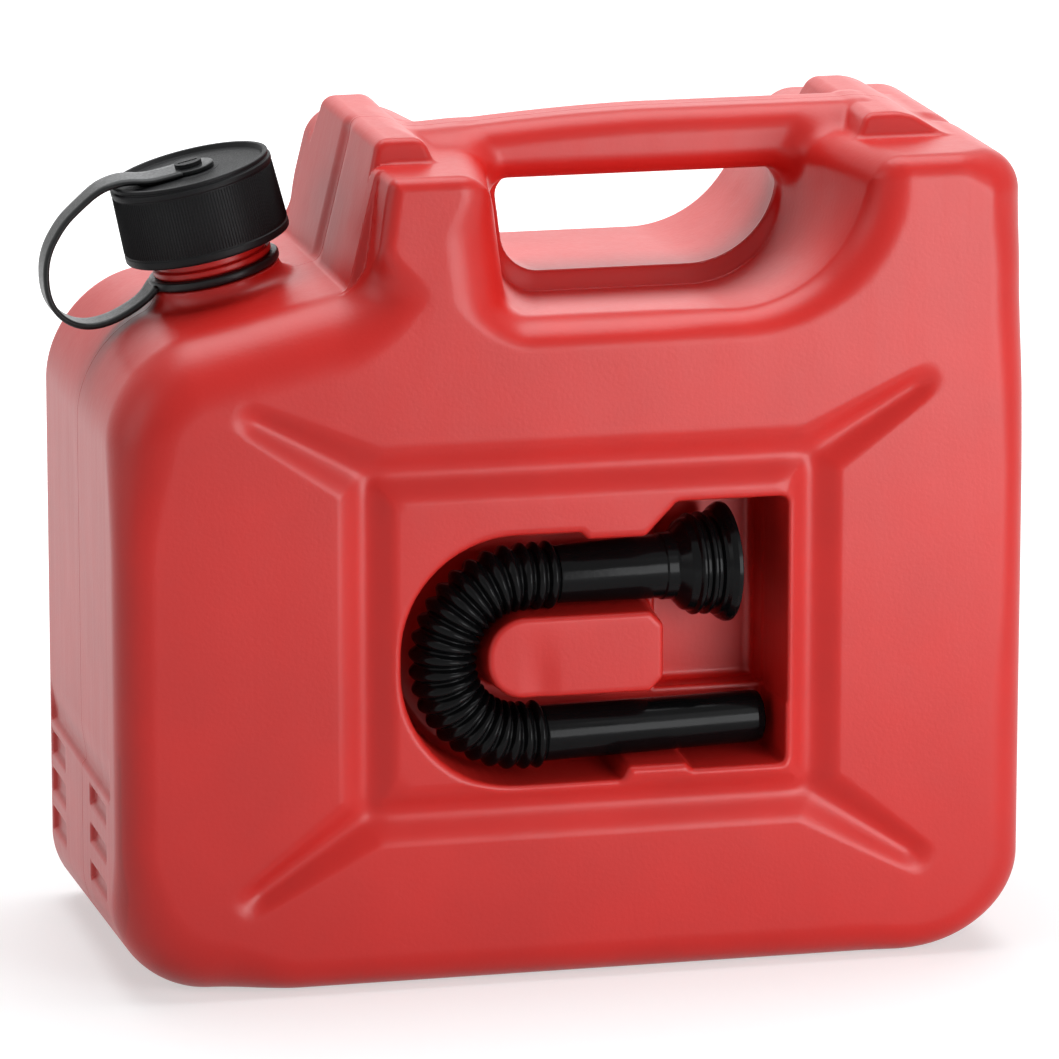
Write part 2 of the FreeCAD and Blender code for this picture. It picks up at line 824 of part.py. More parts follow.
def main():
    os.makedirs("parts", exist_ok=True)
    for name, make in PIECES.items():
        shape = make()
        solids = shape.Solids
        print(name, "solids", len(solids), "valid", shape.isValid(), "cm3", round(shape.Volume / 1e3, 2))
        if len(solids) == 1:
            shape = solids[0]
        shape.exportStep("parts/" + name + ".step")


main()
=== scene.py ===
"""Dresses the fuel canister: moulded container, knurled cap on its tether, stored spout.

Settings are in metres and radians, as Blender keeps them. The shape functions work in millimetres.
+X runs along the canister away from the cap, and the spout compartment faces -Y.
"""
from math import atan2, cos, hypot, pi, radians, sin, tan

import bmesh
import bpy
import numpy as np
from bpy.props import FloatProperty, FloatVectorProperty, IntProperty, PointerProperty
from mathutils import Matrix, Vector


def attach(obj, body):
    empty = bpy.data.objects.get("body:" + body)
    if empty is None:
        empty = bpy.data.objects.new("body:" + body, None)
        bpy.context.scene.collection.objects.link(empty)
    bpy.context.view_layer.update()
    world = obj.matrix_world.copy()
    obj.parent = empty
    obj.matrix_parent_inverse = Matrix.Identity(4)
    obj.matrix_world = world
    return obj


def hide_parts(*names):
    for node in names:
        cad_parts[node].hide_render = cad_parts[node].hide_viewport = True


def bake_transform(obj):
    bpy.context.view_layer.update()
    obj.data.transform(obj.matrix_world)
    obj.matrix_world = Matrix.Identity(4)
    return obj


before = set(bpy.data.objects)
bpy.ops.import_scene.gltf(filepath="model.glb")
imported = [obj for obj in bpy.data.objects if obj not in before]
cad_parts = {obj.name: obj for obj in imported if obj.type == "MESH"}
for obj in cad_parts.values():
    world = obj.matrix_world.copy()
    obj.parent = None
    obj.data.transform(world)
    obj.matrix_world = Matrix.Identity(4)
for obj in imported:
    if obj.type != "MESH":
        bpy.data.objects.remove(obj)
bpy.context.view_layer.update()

bl_info = {
    "name": "Fuel Canister Dressing",
    "version": (1, 0, 0),
    "blender": (4, 5, 0),
    "location": "View3D > Sidebar > Canister",
    "description": "Builds the visible pieces, finishes and studio of a fuel canister",
    "category": "Object",
}

MM = 0.001

# Container, in millimetres
HALF_LENGTH = 175.0
HALF_WIDTH = 82.5
HEIGHT = 320.0
BASE_CORNER_ROUND_FRONT = 33.0
BASE_CORNER_ROUND_REAR = 38.0
REAR_SQUASH = 0.78
SHOULDER_SLOPE = radians(13.4)
SHOULDER_ROUND = 33.0
TOWER_FOOT = (-82.0, 265.0)
TOWER_FOOT_ROUND = 9.0
TOWER_LEAN = atan2(11.0, 45.0)
TOWER_TOP = 310.0
FRONT_TOP_ROUND = 11.0
REAR_TOP_ROUND = 16.0
RIB_EDGE = 59.5
BLOCK_TOP = 319.3

# Panel and cross ribs in the base
BASE_PANEL_X = 4.0
BASE_PANEL_HALF = (112.0, 52.0)
BASE_PANEL_RISE = 1.4
BASE_RIB_OFFSET = 52.0
BASE_RIB_HEIGHT = 0.9

# Hand gap: a near pocket and a shallower far pocket, with a riser between them
GAP_LEFT = -17.0
GAP_LEFT_LEAN = 0.13
GAP_RIGHT = 97.0
GAP_NEAR_FLOOR = 250.0
GAP_FAR_FLOOR = 257.0
GAP_FLARE_LEFT = 0.177
GAP_FLARE_RIGHT = 0.235
GAP_FAR_FLARE_LEFT = 0.127
GAP_FAR_FLARE_RIGHT = 0.07
GAP_ROUND_LEFT = 13.0
GAP_ROUND_RIGHT = 34.0
GAP_RISER = (-5.5, -0.5)

# Handle
HANDLE_UNDERSIDE = 294.8
HANDLE_TOP = 319.4
HANDLE_DROP = 4.6
HANDLE_HALF_WIDTH = 17.0
HANDLE_ROUND = 10.0
HANDLE_FILLET = 9.0
HANDLE_ENDS = (-60.0, 133.0)

# Groove frame on both broad faces, and the rays from its corners
FRAME_LOW = (-80.5, 67.5)
FRAME_HIGH = (90.7, 198.5)
FRAME_CORNER_ROUND = 6.0
RAYS = (
    ((-80.5, 198.5), (-129.0, 225.0)),
    ((90.7, 198.5), (138.0, 227.0)),
    ((-80.5, 67.5), (-130.0, 35.0)),
    ((90.7, 67.5), (137.0, 37.0)),
)

# Spout compartment: (x, z, corner radius) round the edge
RECESS_OUTLINE = (
    (-67.8, 76.0, 46.0), (-67.8, 173.0, 44.0), (1.2, 173.0, 2.0), (4.0, 170.2, 2.0),
    (26.0, 170.2, 3.0), (38.0, 182.5, 4.0), (81.0, 182.5, 3.0), (81.0, 79.0, 3.0),
    (44.8, 79.0, 2.0), (42.0, 81.5, 2.0), (20.0, 81.5, 2.0), (17.2, 76.0, 2.0),
)
ISLAND_OUTLINE = (
    (-34.2, 109.8, 14.5), (-34.2, 140.6, 14.5), (28.5, 140.6, 3.0), (33.5, 135.6, 3.0),
    (33.5, 114.8, 3.0), (28.5, 109.8, 3.0),
)
RECESS_DRAFT = 0.04
ISLAND_DRAFT = 0.06
HOSE_FLOOR = -47.85
BELL_FLOOR = -36.15
BELL_POCKET = (38.0, 103.0)
ISLAND_FACE = -80.0

# Finger pads on the narrow front end: (y, z, length, height). The long one's floor slopes.
END_PADS = (
    (4.0, 83.0, 128.0, 19.0),
    (-34.0, 66.0, 34.0, 8.0), (-34.0, 51.0, 34.0, 7.5), (-34.0, 36.0, 34.0, 7.5),
    (52.0, 65.0, 30.0, 10.0), (52.0, 50.0, 30.0, 10.0), (52.0, 34.5, 30.0, 10.0),
)
LONG_PAD = 100.0

# Neck, square to the shoulder: foot point and heights along its axis
NECK_X = -120.0
NECK_Z = 255.947
WAIST_BORE = 18.5
WAIST_RADIUS = 21.0
WAIST_TOP = 16.0
NECK_BORE = 20.4
COLLAR_RADIUS = 24.6
COLLAR_HEIGHT = 6.4
COLLAR_FILLET = 6.0
SEAT_RADIUS = 21.6
SEAT_LOW = 2.0
BEAD_RADIUS = 22.8
BEAD_LOW = 10.6
BEAD_HIGH = 13.0
NECK_ROOT = 24.6
NECK_RIM = 41.4
THREAD_LOW = 25.0
THREAD_PITCH = 5.0
THREAD_TURNS = 2.0
THREAD_STEPS = 192
THREAD_SECTION = ((-0.4, -1.2), (1.5, -0.6), (1.6, 0.0), (1.5, 0.6), (-0.4, 1.2))

# Cap and tether heights along the neck's axis
CAP_LOW = 17.6
CAP_TOP = 46.6
CAP_RIM = 48.3
CAP_RADIUS_LOW = 31.7
CAP_RADIUS_HIGH = 31.0
CAP_BORE = 26.6
CAP_INNER_TOP = 44.0
CAP_HOLE = 2.6
CAP_SKIRT = ((0.0, 0.0, 2.0), (0.05, 3.0, 0.2), (0.5, 3.4, 0.2))
CAP_CROWN = (
    (0.45, 4.2, 0.3), (0.0, 3.9, 0.4), (0.0, 2.1, 0.5), (0.9, 1.8, 0.3), (1.0, 1.3, 0.3),
    (0.7, 1.1, 0.3), (0.7, 0.0, 0.7), (2.4, 0.0, 0.5),
)
EYE_LOW = 46.9
EYE_THICKNESS = 1.8
RING_LOW = 6.7
RING_THICKNESS = 3.4
RING_INNER = 21.9
RING_OUTER = 25.2

# Strap: its route (x, z) round the side, then (distance from the neck's axis, lift) over the cap
STRAP_ROUTE = (
    (-149.5, 252.4), (-162.5, 245.2), (-173.5, 243.9), (-182.3, 248.6), (-186.9, 257.5),
    (-186.9, 271.5), (-180.5, 283.3), (-174.0, 289.6), (-166.5, 296.1),
)
STRAP_OVER_CAP = ((29.5, 2.9), (24.5, 2.6), (17.0, 0.3), (11.0, 0.0), (4.0, 0.0))
STRAP_SECTION = (
    (-1, -0.45), (-0.88, -1), (-0.6, -1), (0.6, -1), (0.88, -1), (1, -0.45),
    (1, 0.45), (0.88, 1), (0.6, 1), (-0.6, 1), (-0.88, 1), (-1, 0.45),
)
STRAP_STEPS = 120
EYE_BORE = 2.8
EYE_RADIUS = 9.4

# Spout, in its own flat frame
SPOUT_Y = -65.0
SPOUT_YAW = radians(5.0)
UPPER_ARM = 153.8
LOWER_ARM = 92.4
BEND_X = -19.0
HOSE_ENDS = (-5.9, -10.9)
SPOUT_BORE = 7.6
HOSE_SEAT_RADIUS = 9.1
HOSE_SEAT_END = 7.2
CONNECTOR_PROFILE = (
    (HOSE_SEAT_RADIUS, -5.9, 0.2), (10.9, -5.9, 0.5), (12.15, 35.6, 0.3), (12.75, 36.2, 0.3),
    (12.75, 40.5, 1.5), (17.2, 44.4, 1.5), (17.8, 47.0, 0.5), (19.3, 47.9, 0.6), (19.3, 49.1, 0.6),
    (17.8, 50.0, 0.6), (17.8, 51.4, 0.6), (19.5, 52.3, 0.6), (19.5, 53.5, 0.6), (18.0, 54.4, 0.6),
    (18.0, 55.7, 0.6), (19.8, 56.6, 0.6), (20.2, 57.6, 0.6), (21.6, 58.8, 0.8), (22.7, 60.6, 0.5),
    (22.7, 62.3, 0.4), (20.8, 62.3, 0.4), (16.2, 57.5, 1.0), (15.6, 47.2, 1.0),
    (SPOUT_BORE, 40.5, 0.6), (SPOUT_BORE, HOSE_SEAT_END, 0.3),
    (HOSE_SEAT_RADIUS, HOSE_SEAT_END, 0.3),
)
PIPE_PROFILE = (
    (HOSE_SEAT_RADIUS, -10.9, 0.2), (10.6, -10.9, 0.6), (9.9, 73.2, 0.6), (9.55, 75.9, 0.6),
    (8.9, 76.3, 0.4), (7.7, 75.6, 0.5), (SPOUT_BORE, 72.0, 0.5),
    (SPOUT_BORE, HOSE_SEAT_END, 0.3), (HOSE_SEAT_RADIUS, HOSE_SEAT_END, 0.3),
)
STEPS_PER_RIB = 12.0
RIB_BULGE = 0.62

# Studio, in metres: the lights' places, sizes and power settings
AIM = (0.000375, 0, 0.155593)
DAYLIGHT = (0.97, 0.985, 1.0)
LIGHTS = (
    ("key_light", (1.0, -1.35, 1.05), 0.9, 0.9, "key_power"),
    ("side_light", (0.43, -0.84, 0.14), 0.5, 0.6, "side_power"),
    ("top_light", (0.1, 0.3, 1.9), 1.8, 1.4, "top_power"),
    ("back_light", (0.45, 1.65, 0.62), 1.6, 0.9, "back_power"),
    ("left_light", (-2.0, -0.2, 0.9), 1.1, 1.3, "left_power"),
)
FLOOR_HALF = 7.0
FLOOR_LEVEL = -0.0002
FLOOR_GREY = 0.6
FLOOR_GLOW = (0.5, 1.0)
FLOOR_GLOW_REACH = (0.1, 1.1)
SENSOR_WIDTH = 36.0
FOCAL_PIXELS = 7815.0
PICTURE_PIXELS = 1059.0
VIEW_END = 50.0


def mm(length):
    """A Blender length in millimetres."""
    return length * 1000.0


# Shapes by distance: in millimetres, negative inside


def ramp(low, high, value):
    """0 at low and 1 at high, with soft ends."""
    share = np.clip((value - low) / (high - low), 0.0, 1.0)
    return share * share * (3.0 - 2.0 * share)


def towards(start, end, *shares):
    """From start towards end, by the product of the shares."""
    way = end - start
    for share in shares:
        way = way * share
    return start + way


def round_and(a, b, radius):
    """What is inside both shapes, with the outer edge rounded."""
    over_a = np.maximum(a + radius, 0.0)
    over_b = np.maximum(b + radius, 0.0)
    return np.minimum(-radius, np.maximum(a, b)) + np.sqrt(over_a * over_a + over_b * over_b)


def round_or(a, b, radius):
    """What is inside either shape, with a fillet in the corner between them."""
    under_a = np.maximum(radius - a, 0.0)
    under_b = np.maximum(radius - b, 0.0)
    return np.maximum(radius, np.minimum(a, b)) - np.sqrt(under_a * under_a + under_b * under_b)


def rounded_box(past_a, past_b, radius):
    """Distance to a rounded rectangle, from the distances past its two pairs of sides."""
    a = past_a + radius
    b = past_b + radius
    outside = np.sqrt(np.maximum(a, 0) ** 2 + np.maximum(b, 0) ** 2)
    return outside + np.minimum(np.maximum(a, b), 0) - radius


def corner_arms(corners, i):
    """Corner i of a closed outline, its two directions, the angle between, the shorter arm."""
    here = np.array(corners[i][:2])
    before = np.array(corners[i - 1][:2]) - here
    after = np.array(corners[(i + 1) % len(corners)][:2]) - here
    size_before = np.linalg.norm(before)
    size_after = np.linalg.norm(after)
    before /= size_before
    after /= size_after
    opening = np.arccos(np.clip(before @ after, -1.0, 1.0))
    return here, before, after, opening, min(size_before, size_after)


def rounded_line(corners, arc_step=6.0):
    """Points along a closed outline whose corners (a, b, radius) are rounded."""
    line = []
    for i, (_, _, radius) in enumerate(corners):
        here, before, after, opening, _ = corner_arms(corners, i)
        half = 0.5 * opening
        centre = here + (before + after) / np.linalg.norm(before + after) * radius / sin(half)
        start = here + before * radius / tan(half) - centre
        end = here + after * radius / tan(half) - centre
        first = atan2(start[1], start[0])
        turn = (atan2(end[1], end[0]) - first + pi) % (2 * pi) - pi
        steps = max(3, int(abs(np.degrees(turn)) / arc_step) + 1)
        for angle in np.linspace(first, first + turn, steps):
            line.append(centre + radius * np.array((cos(angle), sin(angle))))
    return np.array(line)


class OutlineMap:
    """Distance to a closed outline in the X-Z plane, read from a fine grid."""

    step = 0.5
    reach = 16.0

    def __init__(self, corners):
        line = rounded_line(corners)
        self.low = line.min(0) - self.reach
        self.size = np.ceil((line.max(0) + self.reach - self.low) / self.step).astype(int) + 1
        a = self.low[0] + self.step * np.arange(self.size[0])[:, None]
        b = self.low[1] + self.step * np.arange(self.size[1])[None, :]
        nearest = np.full(tuple(self.size), 1e9)
        inside = np.zeros(tuple(self.size), bool)
        for start, end in zip(line, np.roll(line, -1, axis=0)):
            run = end - start
            share = ((a - start[0]) * run[0] + (b - start[1]) * run[1]) / (run @ run)
            share = np.clip(share, 0, 1)
            gap_a = a - start[0] - share * run[0]
            gap_b = b - start[1] - share * run[1]
            nearest = np.minimum(nearest, gap_a * gap_a + gap_b * gap_b)
            spans = (start[1] > b) != (end[1] > b)
            if start[1] != end[1]:
                cross = start[0] + (b - start[1]) / (end[1] - start[1]) * run[0]
                inside ^= spans & (a < cross)
        self.values = np.sqrt(nearest) * np.where(inside, -1.0, 1.0)

    def __call__(self, x, z):
        u = np.clip((x - self.low[0]) / self.step, 0, self.size[0] - 1.001)
        v = np.clip((z - self.low[1]) / self.step, 0, self.size[1] - 1.001)
        i = u.astype(int)
        j = v.astype(int)
        u = u - i
        v = v - j
        low = self.values[i, j] * (1 - u) + self.values[i + 1, j] * u
        high = self.values[i, j + 1] * (1 - u) + self.values[i + 1, j + 1] * u
        return low * (1 - v) + high * v


def in_neck_frame(x, z):
    """Offset from the neck's axis and height along it."""
    across = (x - NECK_X) * cos(SHOULDER_SLOPE) + (z - NECK_Z) * sin(SHOULDER_SLOPE)
    height = (z - NECK_Z) * cos(SHOULDER_SLOPE) - (x - NECK_X) * sin(SHOULDER_SLOPE)
    return across, height


class MouldedContainer:
    """Outer surface of the container as a distance function."""

    def __init__(self, settings):
        self.recess_map = OutlineMap(RECESS_OUTLINE)
        self.island_map = OutlineMap(ISLAND_OUTLINE)
        self.groove_depth = mm(settings.groove_depth)
        self.groove_half = mm(settings.groove_width) / 2
        self.rim_round = mm(settings.recess_rim_round)
        self.edge_round = mm(settings.edge_round)
        self.shoulder_edge_round = mm(settings.shoulder_edge_round)
        self.pad_depth = mm(settings.pad_depth)

    def grooves(self, x, z):
        """Depth of the groove frame and its rays below the broad face."""
        middle = [(low + high) / 2 for low, high in zip(FRAME_LOW, FRAME_HIGH)]
        half = [(high - low) / 2 for low, high in zip(FRAME_LOW, FRAME_HIGH)]
        off_line = np.abs(rounded_box(
            np.abs(x - middle[0]) - half[0], np.abs(z - middle[1]) - half[1], FRAME_CORNER_ROUND,
        ))
        depth = self.groove_depth * ramp(0, 1, 1 - off_line / self.groove_half)
        for (x0, z0), (x1, z1) in RAYS:
            length = hypot(x1 - x0, z1 - z0)
            ax = (x1 - x0) / length
            az = (z1 - z0) / length
            share = ((x - x0) * ax + (z - z0) * az) / length
            off_line = np.abs((z - z0) * ax - (x - x0) * az)
            along = np.clip(share, 0, 1)
            half_width = self.groove_half * (1.1 - 0.5 * along)
            ray = self.groove_depth * (1 - 0.45 * along ** 2)
            ray = ray * ramp(0, 1, 1 - off_line / half_width)
            ray = ray * ramp(-0.35, 0.02, share) * ramp(1.05, 0.82, share)
            depth = (depth ** 4 + ray ** 4) ** 0.25
        return depth

    def end_relief(self, y, z):
        """Depth of the finger pads in the narrow front end."""
        depth = 0.0
        for pad_y, pad_z, length, height in END_PADS:
            inside = np.minimum(length / 2 - np.abs(y - pad_y), height / 2 - np.abs(z - pad_z))
            pocket = self.pad_depth * ramp(-0.4, 2.4, inside)
            if length > LONG_PAD:
                pocket = pocket * ramp(height / 2, -height / 2, z - pad_z)
            depth = np.maximum(depth, pocket)
        return depth

    def base_relief(self, x, y):
        """Height of the shallow panel and cross ribs in the base."""
        off_middle = np.abs(x - BASE_PANEL_X)
        inside = np.minimum(BASE_PANEL_HALF[0] - off_middle, BASE_PANEL_HALF[1] - np.abs(y))
        panel = BASE_PANEL_RISE * ramp(-1.0, 4.0, inside)
        rib = ramp(5.0, 2.0, np.abs(off_middle - BASE_RIB_OFFSET)) * ramp(40, 34, np.abs(y))
        return panel - BASE_RIB_HEIGHT * rib * ramp(0.0, 6.0, inside)

    def edge_radius(self, x, y, z):
        """Edge radius of the broad faces: soft round the near shoulder, crisp on the towers."""
        near = ramp(20.0, -20.0, y)
        # Rear end, then its tower, then the tower's near outer corner
        rear = 9.0 + (2.5 + 3.5 * ramp(180.0, 260.0, z)) * near
        radius = towards(self.edge_round, rear, ramp(110.0, 150.0, x))
        radius = towards(radius, 9.0, ramp(280.0, 298.0, z), ramp(40.0, 80.0, x))
        radius = towards(radius, 18.5, ramp(262.0, 292.0, z), ramp(146.0, 166.0, x), near)
        # Near foot under the cap
        radius = radius + 10.0 * ramp(-105.0, -140.0, x) * ramp(60.0, 25.0, z) * near
        # Shoulder, and the front tower above it
        soft = towards(self.edge_round, self.shoulder_edge_round, near)
        soft = towards(soft, 5.5, ramp(262.0, 286.0, z))
        return towards(radius, soft, ramp(165.0, 235.0, z) * ramp(40.0, -20.0, x))

    def front_tower_relief(self, y, z):
        """How far the front tower's sloping side lies behind its two ribs."""
        away = np.abs(y)
        valley = 1.5 * ramp(9.0, 0.5, away) * ramp(322.0, 312.0, z) * ramp(262.0, 270.0, z)
        depth = 3.0 + ramp(20.0, -20.0, y) * (1.2 - 3.2 * ramp(268.0, 312.0, z))
        return valley + depth * ramp(RIB_EDGE - 0.5, RIB_EDGE + 1.5, away) - 0.7

    def side_view(self, x, y, z):
        """The long side view, towers included, and the plane of the front tower's side."""
        dx = x - TOWER_FOOT[0]
        dz = z - TOWER_FOOT[1]
        shoulder = dz * cos(SHOULDER_SLOPE) - dx * sin(SHOULDER_SLOPE)
        shoulder = np.maximum(shoulder, dx - 32.0)
        tower_side = dz * sin(TOWER_LEAN) - dx * cos(TOWER_LEAN)
        recessed_side = tower_side + self.front_tower_relief(y, z)
        beside_ribs = ramp(RIB_EDGE - 2.0, RIB_EDGE + 3.0, np.abs(y))
        top_round = FRONT_TOP_ROUND - 8.0 * ramp(-49.0, -53.0, y)
        tower = round_and(recessed_side, z - TOWER_TOP, top_round)
        shape = round_or(shoulder, tower, towards(1.5, TOWER_FOOT_ROUND, beside_ribs))
        front = -x - HALF_LENGTH + self.end_relief(y, z)
        shape = round_and(shape, front, SHOULDER_ROUND)
        rear_end = x - HALF_LENGTH + 1.2 * ramp(215.0, 265.0, z)
        shape = round_and(shape, rear_end, REAR_TOP_ROUND)
        valley = 1.8 * ramp(11.0, 1.0, np.abs(y)) * ramp(136.0, 150.0, x) * ramp(255.0, 285.0, z)
        base = self.base_relief(x, y) - z
        rear = (x - HALF_LENGTH) * towards(1.0, REAR_SQUASH, ramp(150.0, 90.0, z))
        front_round = BASE_CORNER_ROUND_FRONT - 5.0 * (y / HALF_WIDTH)
        foot = round_and(-x - HALF_LENGTH, base, front_round)
        foot = round_and(foot, rear, BASE_CORNER_ROUND_REAR)
        return np.maximum(shape + valley, foot), recessed_side

    def hand_gap(self, x, y, z):
        """The opening under the handle, flared towards both broad faces."""
        away = np.abs(y)
        far = ramp(GAP_RISER[0], GAP_RISER[1], y)
        flare_left = towards(GAP_FLARE_LEFT, GAP_FAR_FLARE_LEFT, far)
        far_flare = GAP_FAR_FLARE_RIGHT + 0.12 * ramp(275.0, 312.0, z)
        flare_right = towards(GAP_FLARE_RIGHT, far_flare, far)
        left = GAP_LEFT - GAP_LEFT_LEAN * (z - 293.0) + 3.0 * far - away * flare_left - x
        right = (x - GAP_RIGHT - away * flare_right) * 0.97
        near_floor = GAP_NEAR_FLOOR + 4.0 * ramp(8.0, 70.0, away)
        floor = towards(near_floor, GAP_FAR_FLOOR, far) - z
        gap = round_and(left, floor, GAP_ROUND_LEFT - 5.0 * ramp(30.0, 74.0, away) * (1 - far))
        return round_and(gap, right, GAP_ROUND_RIGHT + away * (0.22 - 0.1 * far))

    def gap_edge_radius(self, x, y, z):
        """Edge radius where the hand gap meets the broad faces and the towers' tops."""
        side = 21.0 - 7.5 * ramp(20.0, 70.0, x)
        radius = towards(11.5, side, ramp(243.0, 266.0, z))
        top = 12.0 + 12.0 * ramp(20.0, 50.0, y) * ramp(10.0, -20.0, x)
        radius = towards(radius, top, ramp(285.0, 305.0, z))
        # The far side of the lip is crisper
        return towards(radius, 7.0, ramp(10.0, 60.0, y), ramp(312.0, 280.0, z))

    def handle(self, x, y, z):
        """The bar over the gap, lower towards the cap, with its ends inside the towers."""
        along = np.clip(x, HANDLE_ENDS[0], HANDLE_ENDS[1])
        top = HANDLE_TOP - HANDLE_DROP * np.clip((45.0 - along) / 78.0, 0.0, 1.1) ** 1.6
        past_top = np.abs(z - (top + HANDLE_UNDERSIDE) / 2) - (top - HANDLE_UNDERSIDE) / 2
        bar = rounded_box(np.abs(y) - HANDLE_HALF_WIDTH, past_top, HANDLE_ROUND)
        centre = (HANDLE_ENDS[0] + HANDLE_ENDS[1]) / 2
        reach = (HANDLE_ENDS[1] - HANDLE_ENDS[0]) / 2
        return round_and(bar, np.abs(x - centre) - reach, 4.0)

    def front_block(self, x, y, z, recessed_side):
        """Stacking block over the front tower's ribs, with sloping ends."""
        side = (np.abs(y) - 50.5 + 0.25 * (z - 314.75)) * 0.97
        slant = 1.2 - 0.8 * ramp(17.0, 45.0, np.abs(y))
        rear = (x + 50.0 + slant * (z - 316.0)) / np.sqrt(1.0 + slant * slant)
        block = round_and(recessed_side, z - BLOCK_TOP, 4.0)
        block = round_and(block, rear, 4.0)
        low = 296.0 + 7.0 * ramp(-68.0, -62.0, x)
        return np.maximum(round_and(block, side, 2.5), low - z)

    def rear_block(self, x, y, z):
        """Stacking block on the rear tower."""
        side = (np.abs(y - 5.0) - 44.0 + 0.35 * (z - 314.0)) * 0.94
        front = (121.5 + 0.5 * (z - 317.0) - x) * 0.89
        rear = (x - 142.5 + 1.6 * (z - 317.0)) * 0.53
        block = round_and(round_and(front, rear, 4.0), z - BLOCK_TOP, 3.0)
        return np.maximum(round_and(block, side, 2.0), 300.0 - z)

    def compartment(self, x, y, z):
        """The hollow that holds the spout, island left out."""
        edge = self.recess_map(x, z) + RECESS_DRAFT * (y + HALF_WIDTH)
        hollow = round_and(edge, y - HOSE_FLOOR, 3.5)
        pocket_edge = np.maximum(BELL_POCKET[0] - x, BELL_POCKET[1] - z)
        pocket = round_and(np.maximum(edge, pocket_edge), y - BELL_FLOOR, 3.0)
        return round_or(hollow, pocket, 1.5)

    def island(self, x, y, z):
        """The raised middle of the compartment, inside the hose's bend."""
        edge = self.island_map(x, z) - ISLAND_DRAFT * (y - ISLAND_FACE)
        crease = 0.9 * ramp(9.0, 0.0, np.abs(x + 14.0)) * ramp(136.0, 112.0, z)
        return np.maximum(round_and(edge, ISLAND_FACE + crease - y, 2.2), y - HOSE_FLOOR - 8.0)

    def __call__(self, x, y, z):
        shape, recessed_side = self.side_view(x, y, z)
        broad_face = np.abs(y) - HALF_WIDTH + self.grooves(x, z)
        shape = round_and(shape, broad_face, self.edge_radius(x, y, z))
        shape = round_and(shape, -self.hand_gap(x, y, z), self.gap_edge_radius(x, y, z))
        shape = round_or(shape, self.handle(x, y, z), HANDLE_FILLET)
        fillet = 0.05 + 1.95 * ramp(-69.0, -64.0, x)
        shape = round_or(shape, self.front_block(x, y, z, recessed_side), fillet)
        shape = round_or(shape, self.rear_block(x, y, z), 2.0)
        shape = round_and(shape, -self.compartment(x, y, z), self.rim_round)
        shape = round_or(shape, self.island(x, y, z), 1.5)
        across, height = in_neck_frame(x, z)
        from_axis = np.sqrt(across * across + y * y)
        collar = round_and(from_axis - COLLAR_RADIUS, height - COLLAR_HEIGHT, 1.0)
        collar = np.maximum(collar, -height - 20.0)
        shape = round_or(shape, collar, COLLAR_FILLET)
        bore = np.maximum(from_axis - WAIST_BORE, -height - 45.0)
        return round_and(shape, -bore, 0.8)

    def slopes(self, points, reach=0.3):
        """Gradient of the distance at each point."""
        result = np.empty_like(points)
        for axis in range(3):
            ahead = points.copy()
            behind = points.copy()
            ahead[:, axis] += reach
            behind[:, axis] -= reach
            result[:, axis] = (self(*ahead.T) - self(*behind.T)) / (2 * reach)
        return result

    def settle(self, points, limit):
        """Points moved onto the surface, each by no more than the limit."""
        distance = self(*points.T)
        gradient = self.slopes(points)
        square = np.maximum((gradient * gradient).sum(1), 0.05)
        move = gradient * (distance / square)[:, None]
        length = np.linalg.norm(move, axis=1)
        move *= np.minimum(1.0, limit / np.maximum(length, 1e-9))[:, None]
        return points - move


def sampled(shape, axes, coarse):
    """The distance on a grid, worked out finely only near the surface."""
    rough_axes = [axis[coarse // 2::coarse] for axis in axes]
    rough = shape(*np.meshgrid(*rough_axes, indexing="ij"))
    step = axes[0][1] - axes[0][0]
    picks = []
    for axis, rough_axis in zip(axes, rough_axes):
        picks.append(np.minimum(np.arange(len(axis)) // coarse, len(rough_axis) - 1))
    values = rough[np.ix_(*picks)].astype(np.float32)
    near = np.argwhere(np.abs(values) < coarse * step * 1.5)
    for start in range(0, len(near), 400000):
        part = near[start:start + 400000]
        spots = [axes[i][part[:, i]] for i in range(3)]
        values[tuple(part.T)] = shape(*spots)
    return values


def surface_net(shape, low, high, step, coarse=4):
    """Vertices and four-sided faces of the surface where the distance is zero."""
    axes = [np.arange(low[i], high[i] + step, step) for i in range(3)]
    values = sampled(shape, axes, coarse)
    inside = values < 0
    size = np.array(values.shape)
    cells = []
    spots = []
    for a in range(3):
        b = (a + 1) % 3
        c = (a + 2) % 3
        first = np.take(inside, range(size[a] - 1), axis=a)
        second = np.take(inside, range(1, size[a]), axis=a)
        start = np.argwhere(first != second)
        end = start.copy()
        end[:, a] += 1
        value_start = values[tuple(start.T)]
        value_end = values[tuple(end.T)]
        spot = np.array(low) + step * start.astype(float)
        spot[:, a] += step * value_start / (value_start - value_end)
        ring = []
        for shift_b, shift_c in ((0, 0), (-1, 0), (-1, -1), (0, -1)):
            cell = start.copy()
            cell[:, b] += shift_b
            cell[:, c] += shift_c
            ring.append(np.ravel_multi_index(tuple(cell.T), tuple(size)))
        ring = np.stack(ring, 1)
        turned = value_start >= 0
        ring[turned] = ring[turned][:, ::-1]
        cells.append(ring)
        spots.append(spot)
    cells = np.concatenate(cells)
    spots = np.repeat(np.concatenate(spots), 4, axis=0)
    faces = np.unique(cells.ravel(), return_inverse=True)[1]
    counts = np.bincount(faces)
    points = np.stack([np.bincount(faces, spots[:, i]) / counts for i in range(3)], 1)
    return points, faces.reshape(-1, 4)


# Mesh helpers


def new_object(name, points, faces, edges=()):
    """An object at the origin whose mesh is given in millimetres."""
    mesh = bpy.data.meshes.new(name)
    mesh.from_pydata([tuple(p) for p in np.asarray(points) * MM], edges, [tuple(f) for f in faces])
    mesh.validate()
    piece = bpy.data.objects.new(name, mesh)
    bpy.context.scene.collection.objects.link(piece)
    return piece


